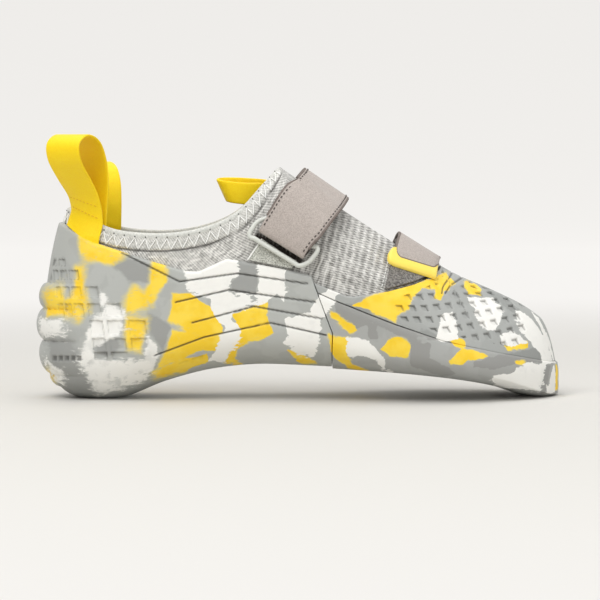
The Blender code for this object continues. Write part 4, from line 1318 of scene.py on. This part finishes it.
def strap_column(strap, across, row, inner_side):
    """Column where a line across the strap meets a row of the last."""
    across, row = np.broadcast_arrays(np.asarray(across, float), np.asarray(row, float))

    def beyond(steps):
        column = np.where(inner_side, ROUND - steps, steps)
        return across_strap(strap, last_point(column, row)) > across

    steps = halve(STRAPS_BEHIND, LAST, across.shape, beyond)[1]
    return np.where(inner_side, ROUND - steps, steps)


def strap_point(strap, across, along, height):
    """Point over the strap's bed. along is 0 on the ridge, negative down the outer side."""
    across, along, height = np.broadcast_arrays(across, along, height)
    row = ROW_TOP - np.abs(along)
    return off_last(strap_column(strap, across, row, along > 0), row, height + strap.lift)


def along_to(strap, across, side, level):
    """How far down one side a line across the strap reaches a level, a function of X."""
    def below(down):
        point = strap_point(strap, across, side * down, 0.0)
        return point[..., 2] <= level(point[..., 0])

    return side * halve(0, 1, across.shape, below)[0]


def slanting(strap, across, ends, shift=0.0):
    """Level that runs straight from one edge of the strap to the other."""
    height = np.interp(across, [strap.near, strap.far], ends) + shift
    return lambda x: height


LAYER_LOW = 2.9 * CLEARANCE + STRAP / 2
LAYER_FOLD = RING_HEIGHT + RING_WIRE / 2 + 1.0 + STRAP / 2
LAYER_TOP = LAYER_LOW + STRAP + 0.6
RIDGE_BULGE = 1.6
Place = namedtuple("Place", "end share height")
STRAP_ROUTE = (
    Place("anchor", 1.0, LAYER_LOW),
    Place("anchor", 0.8, LAYER_LOW),
    Place("anchor", 0.6, LAYER_LOW),
    Place("anchor", 0.4, LAYER_LOW),
    Place("anchor", 0.2, LAYER_LOW),
    Place("fold", 0.0, LAYER_LOW),
    Place("fold", 0.35, LAYER_LOW),
    Place("fold", 0.65, LAYER_LOW),
    Place("fold", 0.92, LAYER_LOW + 0.1),
    Place("fold", 0.985, RING_HEIGHT - 1.2),
    Place("fold", 1.0, RING_HEIGHT + 0.6),
    Place("fold", 0.98, LAYER_FOLD - 0.5),
    Place("fold", 0.9, LAYER_FOLD),
    Place("fold", 0.6, LAYER_FOLD),
    Place("fold", 0.4, LAYER_TOP + 1.2),
    Place("fold", 0.2, LAYER_TOP + RIDGE_BULGE),
    Place("fold", 0.0, LAYER_TOP + RIDGE_BULGE),
    Place("tip", 0.35, LAYER_TOP + RIDGE_BULGE),
    Place("tip", 0.7, LAYER_TOP + 0.5 * RIDGE_BULGE),
    Place("tip", 1.0, LAYER_TOP + 0.2),
)
LOWER_LAYER, OUTER_LAYER = 10, 12  # where in the route the strap stops lying below and starts lying on top
SEAM_INSET = 1.2  # distance of the stitching from the strap's edges
STRAP_STITCH = Stitch(1.3, 2.2, 0.36)
BINDING_OVER = 0.06  # how far the bound edge stands out over the strap's faces
SEAM_OVER = 0.05  # how far a stitch's middle lies over the cloth
SELVEDGE, SELVEDGE_INSET = 0.4, 0.6
TAB_ROUTE = (
    Place("anchor", 1.0, 2.2 * CLEARANCE + WEBBING / 2),
    Place("bar", 1.0, RING_HEIGHT - RING_WIRE / 2 - BAR_GAP - WEBBING / 2),
    Place("turn", 1.0, RING_HEIGHT - RING_WIRE / 2 - BAR_GAP - WEBBING / 2),
)


def rubber_level(edges):
    """Level just above an edge of the rubber."""
    return lambda x: edge_height(edges, x) + STRAP_GAP


def corner_lift(strap, across, radius):
    """How much a rounded corner takes off the strap's tip near either edge."""
    from_edge = np.minimum(across - strap.near, strap.far - across)
    return rounded_rim(np.maximum(from_edge, 0), radius)


def strap_ends(strap, across, side, strap_edges):
    tip = np.interp(across, [strap.near, strap.far], strap.tip) + corner_lift(strap, across, TIP_CORNER)
    return {
        "fold": along_to(strap, across, side, slanting(strap, across, strap.fold)),
        "anchor": along_to(strap, across, -side, rubber_level(strap_edges)),
        "tip": along_to(strap, across, -side, lambda x: tip),
    }


def tab_ends(strap, across, side, ring_edges):
    down = -RING_BAR_DOWN
    return {
        "bar": along_to(strap, across, side, slanting(strap, across, strap.fold, down)),
        "turn": along_to(strap, across, side, slanting(strap, across, strap.fold, down + WEBBING_TURN)),
        "anchor": along_to(strap, across, side, rubber_level(ring_edges)),
    }


def route_points(strap, across, route, ends, places, lift=0.0):
    """Points of a route's middle layer, one line for each place across the strap."""
    along = np.stack([ends[row.end] * row.share for row in route], -1)
    height = np.broadcast_to([row.height for row in route], along.shape)
    smooth = np.stack([spline(edge, places, False) for edge in np.stack([along, height], -1)])
    return strap_point(strap, across[:, None], smooth[..., 0], smooth[..., 1] + lift)


def folded_band(name, strap, inset, route, ends_at, thickness, count, material, pile_end=0):
    """Strap or webbing along a route, from edge to edge less an inset on either side."""
    places = np.linspace(0, len(route) - 1, count)
    width = strap.far - strap.near - 2 * inset

    def middle(across):
        across = strap.near + inset + across
        return route_points(strap, across, route, ends_at(across), places)

    pile = smoothstep(pile_end - places) if pile_end else 0.0
    return band(name, middle, width, thickness, material, 12, pile)


def seam_line(strap, across, ends_at, from_place, to_place):
    """Line on top of a strap's outer layer at a distance across it, with its normals."""
    places = np.linspace(from_place, to_place, 60)
    beside = np.array([across - BESIDE, across, across + BESIDE])
    points = route_points(strap, beside, STRAP_ROUTE, ends_at(beside), places)
    normal = unit(np.cross(points[2] - points[0], np.gradient(points[1], axis=0)))
    return points[1] + normal * (STRAP / 2 + SEAM_OVER), normal


def edge_binding(name, strap, ends_at):
    """Bound edge round a strap's outer layer, from the fold down one side, round the tip and back."""
    places = np.linspace(OUTER_LAYER - 0.6, len(STRAP_ROUTE) - 1, 70)
    across = np.linspace(strap.near, strap.far, 60)
    sheet = route_points(strap, across, STRAP_ROUTE, ends_at(across), places)
    path = np.concatenate([sheet[0], sheet[1:-1, -1], sheet[-1, ::-1]])
    tubes(name + "_binding", [path], STRAP / 2 + BINDING_OVER, BINDING)


def strap_and_ring(prefix, strap, side, strap_edges, ring_edges):
    """Strap with its edge stitching, its ring and the webbing that holds the ring."""
    def ends_at(across):
        return strap_ends(strap, across, side, strap_edges)

    name = prefix + "_strap"
    route = STRAP_ROUTE
    piece = folded_band(name + "_woven", strap, 0.0, route, ends_at, STRAP, 190, STRAP_CLOTH, LOWER_LAYER)
    dress(name)
    lines = [
        seam_line(strap, across, ends_at, OUTER_LAYER - 1.2, len(route) - 1.05)
        for across in (strap.near + SEAM_INSET, strap.far - SEAM_INSET)
    ]
    stitches(name + "_stitching", lines, STRAP_STITCH, STRAP_THREAD)
    edge_binding(name, strap, ends_at)
    ring(prefix + "_ring", strap, side)

    def tab_at(across):
        return tab_ends(strap, across, side, ring_edges)

    name = prefix + "_ring_tab"
    route = TAB_ROUTE
    piece = folded_band(name + "_woven", strap, WEBBING_INSET, route, tab_at, WEBBING, 60, WEBBING_CLOTH)
    dress(name)
    beside = np.array([strap.near + WEBBING_INSET + SELVEDGE_INSET])
    places = np.linspace(0.0, len(route) - 1.4, 30)
    line = route_points(strap, beside, route, tab_at(beside), places, WEBBING / 2)[0]
    tubes(name + "_selvedge", [line], SELVEDGE, THREAD_WHITE)


RING_CORNER = 3.2


def ring(name, strap, side):
    """Moulded ring: a rounded rectangle round the fold, following the foot."""
    near, far = strap.near - RING_SIDE, strap.far + RING_SIDE
    middle, half = (near + far) / 2, (far - near) / 2
    half_up = (RING_BAR_UP + RING_BAR_DOWN) / 2
    straight = rounded_rectangle(half - RING_CORNER, half_up - RING_CORNER, RING_CORNER, 28, 6)
    across, up = middle + straight[:, 0], straight[:, 1] + (RING_BAR_UP - RING_BAR_DOWN) / 2
    level = np.interp(across, [strap.near, strap.far], strap.fold) + up
    along = along_to(strap, across, side, lambda x: level)
    path = strap_point(strap, across, along, RING_HEIGHT)
    piece = tubes(name + "_moulded", [path], RING_WIRE / 2, RING_PLASTIC, sides=14, closed=True)
    dress(name)


def rounded_rectangle(half_x, half_y, corner, long_count, turn_count):
    """Closed outline, corner circles about the four points at the half sizes."""
    points = []
    for k, (sx, sy) in enumerate(((1, 1), (-1, 1), (-1, -1), (1, -1))):
        turn = np.linspace(0, math.pi / 2, turn_count) + k * math.pi / 2
        arc = np.stack([sx * half_x + corner * np.cos(turn), sy * half_y + corner * np.sin(turn)], -1)
        points.append(arc)
        if k % 2 == 0:
            share = np.linspace(0, 1, long_count + 2)[1:-1, None]
            start, end = arc[-1], np.array((-sx * half_x, sy * (half_y + corner)))
            points.append(start + (end - start) * share)
    return np.vstack(points)


TAB_CORNER_UP, TAB_CORNER_DOWN = 1.5, 4.5  # corners at the lip's end
TAB_RIM, TAB_RIM_CUT = 1.4, 1.3
TAB_EDGE = 0.6  # width of the steps in the tab's top


def pull_tab():
    """Thick soft tab under the lower strap's tip, with a lip beside the strap's near edge."""
    strap = LOWER_STRAP
    across = np.linspace(strap.near - TAB_LIP, strap.far, 72)
    from_left = across - across[0]
    beside = smoothstep((strap.near - 0.2 - across) / TAB_EDGE)
    start = TAB_UNDER + (TAB_LIP - TAB_UNDER) * beside - rounded_rim(from_left, TAB_CORNER_UP)
    end = -TAB_END + rounded_rim(from_left, TAB_CORNER_DOWN)
    share = np.linspace(0, 1, 41)
    drop = start[:, None] + share * (end - start)[:, None]
    level = np.interp(across, [strap.near, strap.far], strap.tip)[:, None] + drop
    across = np.broadcast_to(across[:, None], level.shape)
    along = along_to(strap, across, -1, lambda x: level)
    from_side = np.minimum(across - across[0], across[-1] - across)
    rim = rounded_rim(np.minimum(from_side, drop - end[:, None]), TAB_RIM, TAB_RIM_CUT)
    covered = smoothstep((drop - corner_lift(strap, across, TIP_CORNER) + 0.7) / TAB_EDGE)
    covered = covered * (1 - beside[:, None])
    top = TAB_HIGH - rim + (TAB_LOW + 0.2 - TAB_HIGH + rim) * covered
    outside = strap_point(strap, across, along, top)
    inside = strap_point(strap, across, along, TAB_LOW)
    piece = wall("pull_tab_soft", outside[::-1], inside[::-1], False, TAB_YELLOW)
    dress("pull_tab")


FIELD_STITCH = Stitch(1.7, 2.3, 0.3)
FIELD_SEAM = 1.3  # distance of the white stitches from the field


def loop_field():
    """Fuzzy outer face of the lower strap's sewn layer, with a line of white stitches beside it."""
    strap = LOWER_STRAP
    across = np.linspace(strap.near + 0.1, strap.far - 0.1, 61)
    top = along_to(strap, across, -1, slanting(strap, across, strap.tip, 1.0))
    bottom = along_to(strap, across, -1, rubber_level(PATCH_EDGE))
    bottom = np.minimum(bottom, top - 0.002)
    along = top[:, None] + np.linspace(0, 1, 41) * (bottom - top)[:, None]
    face = LAYER_LOW + STRAP / 2
    outside = strap_point(strap, across[:, None], along, face + PILE)
    inside = strap_point(strap, across[:, None], along, face - PILE)
    piece = wall("loop_field", outside[::-1], inside[::-1], False, loop_pile())
    beside = np.full(40, strap.near - FIELD_SEAM)
    along = np.linspace(top[0], bottom[0], 40)
    line = strap_point(strap, beside, along, 0.3)
    normal = unit(line - strap_point(strap, beside, along, -1.0))
    piece = stitches("loop_field_stitching", [(line, normal)], FIELD_STITCH, THREAD_WHITE)


# Ribbon loops


TUCK, TUCK_IN = 4.5, 1.1  # how far a leg's front edge goes down and in behind the rubber's rim
FREE_HEIGHT = 22.0  # height over the collar where a loop has left the last's curve
RIBBON_STITCH = Stitch(1.5, 2.2, 0.24)
RIBBON_SEAM, RIBBON_INSET = 1.5, 1.2  # the seam's height over the collar, and its distance from the edges
SEAM_ROWS = (0, 4)  # steps along the loop from the seam's height to its two rows
LOOP_STEPS = 90


def heel_loop(name, column, drop):
    profile = spline(HEEL_LOOP, np.linspace(0, len(HEEL_LOOP) - 1, LOOP_STEPS), False)
    profile[:, 1] *= np.where(profile[:, 1] > 0, drop, 1)
    out, up = profile[None, :, 0], profile[None, :, 1]
    edge = last_point(column, ROW_TOP)
    facing = unit(last_normal(column, ROW_TOP) * (1, 1, 0))
    sideways = np.cross(facing, UPWARD)
    two_steps = last_point(column + 0.1, ROW_TOP) - last_point(column - 0.1, ROW_TOP)
    per_column = np.dot(two_steps, sideways) / 0.2
    length = np.linalg.norm(last_point(column, ROW_TOP) - last_point(column, ROW_SIDE))

    def middle(across):
        shift = (across - HEEL_RIBBON / 2)[:, None]
        columns = column + shift / per_column + 0 * up
        forward = (steps_from_heel(columns) - steps_from_heel(column)) * abs(per_column)
        ahead = np.clip(0.5 + forward / HEEL_RIBBON, 0, 1)
        below = np.clip(up / HEEL_LOOP[0].up, 0, 1) * ahead
        sunk = TUCK_IN * smoothstep((below - 0.55) / 0.4) * (out > 0)
        leg = off_last(columns, ROW_TOP + (np.minimum(up, 0) - TUCK * below) / length, out - sunk)
        leg[..., 2] += np.maximum(up, 0)
        free = edge + shift[..., None] * sideways + out[..., None] * facing + up[..., None] * UPWARD
        share = smoothstep(up / FREE_HEIGHT)[..., None]
        return leg + (free - leg) * share

    piece = band(name + "_ribbon", middle, HEEL_RIBBON, RIBBON, RIBBON_SATIN)
    dress(name)
    at = np.argmin(np.abs(profile[: LOOP_STEPS // 3, 1] - RIBBON_SEAM))
    rows = []
    for step in SEAM_ROWS:
        points = middle(np.linspace(RIBBON_INSET, HEEL_RIBBON - RIBBON_INSET, 30))[:, at + step]
        normal = np.broadcast_to(facing, points.shape)
        rows.append((points + normal * (RIBBON / 2 + SEAM_OVER), normal))
    stitches(name + "_stitching", rows, RIBBON_STITCH, RIBBON_THREAD)


def tongue_loop():
    route = spline(TONGUE_LOOP, np.linspace(0, len(TONGUE_LOOP) - 1, 80), False)
    back = (route[:, 0] - route[0, 0]) / np.ptp(route[:, 0])
    upright = np.stack([TONGUE_TILT * back, 0 * back, 1 + 0 * back], -1)

    def middle(across):
        return route[None] + (across - TONGUE_RIBBON / 2)[:, None, None] * upright

    piece = band("tongue_loop_ribbon", middle, TONGUE_RIBBON, RIBBON, RIBBON_SATIN, across=10)
    dress("tongue_loop")


# Stage, in metres

SENSOR = 36


def camera():
    data = bpy.data.cameras.new("camera")
    data.sensor_width = SENSOR
    data.lens = SENSOR * DISTANCE / (IMAGE * PIXEL * MM)
    view = bpy.data.objects.new("camera", data)
    bpy.context.scene.collection.objects.link(view)
    back = Vector((0, -math.cos(ELEVATION), math.sin(ELEVATION)))
    view.location = AIM + back * DISTANCE
    view.rotation_euler = (-back).to_track_quat("-Z", "Y").to_euler()
    bpy.context.scene.camera = view
    bpy.context.scene.view_settings.view_transform = "Standard"


FLOOR_COLOUR = rgb(209, 207, 202)
GLOW_COLOUR = rgb(236, 234, 231)
FLOOR_NEAR, FLOOR_FAR = 220.0, 1000.0  # millimetres; shadows fall near the shoe, and far from it all glows
FLOOR_FRONT, FLOOR_BACK, FLOOR_SIDE = -3.0, 2.0, 4.0
BACKDROP_TURN, BACKDROP_TOP = 1.2, 4.0  # radius at the foot of the backdrop, and its height


def floor():
    """Pale floor that turns up into a backdrop far behind the shoe."""
    turn = np.linspace(0, math.pi / 2, 16)
    curve = zip(FLOOR_BACK + BACKDROP_TURN * np.sin(turn), BACKDROP_TURN - BACKDROP_TURN * np.cos(turn))
    profile = [(FLOOR_FRONT, 0.0), *curve, (FLOOR_BACK + BACKDROP_TURN, BACKDROP_TOP)]
    points = [(x, y, z) for y, z in profile for x in (-FLOOR_SIDE, FLOOR_SIDE)]
    faces = [(2 * i, 2 * i + 1, 2 * i + 3, 2 * i + 2) for i in range(len(profile) - 1)]
    mesh = bpy.data.meshes.new("floor")
    mesh.from_pydata(points, [], faces)
    mesh.shade_smooth()
    s = Shader("floor")
    reach = s.node("VectorMath", {"operation": "LENGTH"}, i0=s.place()).outputs["Value"]
    glow = s.step(reach, FLOOR_NEAR, FLOOR_FAR)
    colour = s.mix(glow, FLOOR_COLOUR, (0.0, 0.0, 0.0, 1.0))
    mesh.materials.append(s.finish(colour, 0.7, Emission_Color=GLOW_COLOUR, Emission_Strength=glow))
    obj = bpy.data.objects.new("floor", mesh)
    bpy.context.scene.collection.objects.link(obj)


SKY_COLOUR, SKY_STRENGTH = rgb(250, 249, 247), 0.3
LIT_POINT = Vector((0, 0, 0.05))  # where the lamps point
Lamp = namedtuple("Lamp", "name x y z size power")
LAMPS = (
    Lamp("key", -0.7, -1.1, 1.5, 1.2, 23),
    Lamp("top", 0.1, 0.2, 1.7, 1.6, 17),
    Lamp("fill", 1.2, -1.2, 0.7, 1.4, 9),
)


def lights():
    for lamp in LAMPS:
        data = bpy.data.lights.new(lamp.name, "AREA")
        data.size = lamp.size
        data.energy = lamp.power
        light = bpy.data.objects.new(lamp.name, data)
        light.location = (lamp.x, lamp.y, lamp.z)
        direction = LIT_POINT - light.location
        light.rotation_euler = direction.to_track_quat("-Z", "Y").to_euler()
        bpy.context.scene.collection.objects.link(light)
    world = bpy.data.worlds.new("studio")
    world.use_nodes = True
    background = world.node_tree.nodes["Background"]
    background.inputs["Color"].default_value = SKY_COLOUR
    background.inputs["Strength"].default_value = SKY_STRENGTH
    bpy.context.scene.world = world


# The pieces' materials, and then the pieces

HEEL_RUBBER = rubber("heel_rubber", rgb(179, 181, 177), rgb(156, 157, 154))
SOLE_RUBBER = rubber("sole_rubber", rgb(169, 170, 167), rgb(151, 151, 148))
PATCH_RUBBER = rubber("patch_rubber", rgb(168, 170, 167), rgb(150, 152, 149))
STRAP_CLOTH = cloth("strap_cloth", rgb(164, 154, 147), rgb(192, 182, 175), 0.5)
STRAP_THREAD = plain("strap_thread", rgb(74, 68, 64), rgb(96, 89, 84), 2.0, 0.7)
BINDING = plain("strap_binding", rgb(92, 83, 78), rgb(140, 129, 122), 1.4, 0.8)
WEBBING_CLOTH = cloth("webbing_cloth", rgb(140, 141, 132), rgb(222, 223, 214), 1.0, 0.85, 0.1, 0.35)
RING_PLASTIC = plain("ring_plastic", rgb(203, 205, 198), rgb(216, 218, 211), 6.0, 0.42)
TAB_YELLOW = plain("tab_yellow", rgb(250, 219, 84), rgb(252, 227, 106), 8.0, 0.5)
RIBBON_SATIN = cloth("ribbon_satin", rgb(252, 212, 8), rgb(255, 222, 22), 0.45, 0.5, 0.02, 0.12)
RIBBON_THREAD = plain("ribbon_thread", rgb(222, 168, 10), rgb(240, 190, 20), 2.0, 0.6)
THREAD_WHITE = plain("thread_white", rgb(236, 236, 232), rgb(248, 248, 245), 1.5, 0.65)
THREAD_DARK = plain("thread_dark", rgb(58, 58, 56), rgb(80, 80, 78), 1.5, 0.8)

camera()
floor()
lights()
upper()
insole()
heel_shell()
outsole()
toe_patch()
collar_zigzag()
strap_and_ring("upper", UPPER_STRAP, -1, SHELL_EDGE, SHELL_EDGE)
strap_and_ring("lower", LOWER_STRAP, 1, PATCH_EDGE, PATCH_EDGE_INNER)
pull_tab()
loop_field()
heel_loop("heel_loop_outer", HEEL_LOOP_COLUMN, 1.0)
heel_loop("heel_loop_inner", ROUND - INNER_LOOP_COLUMN, INNER_LOOP_DROP)
tongue_loop()
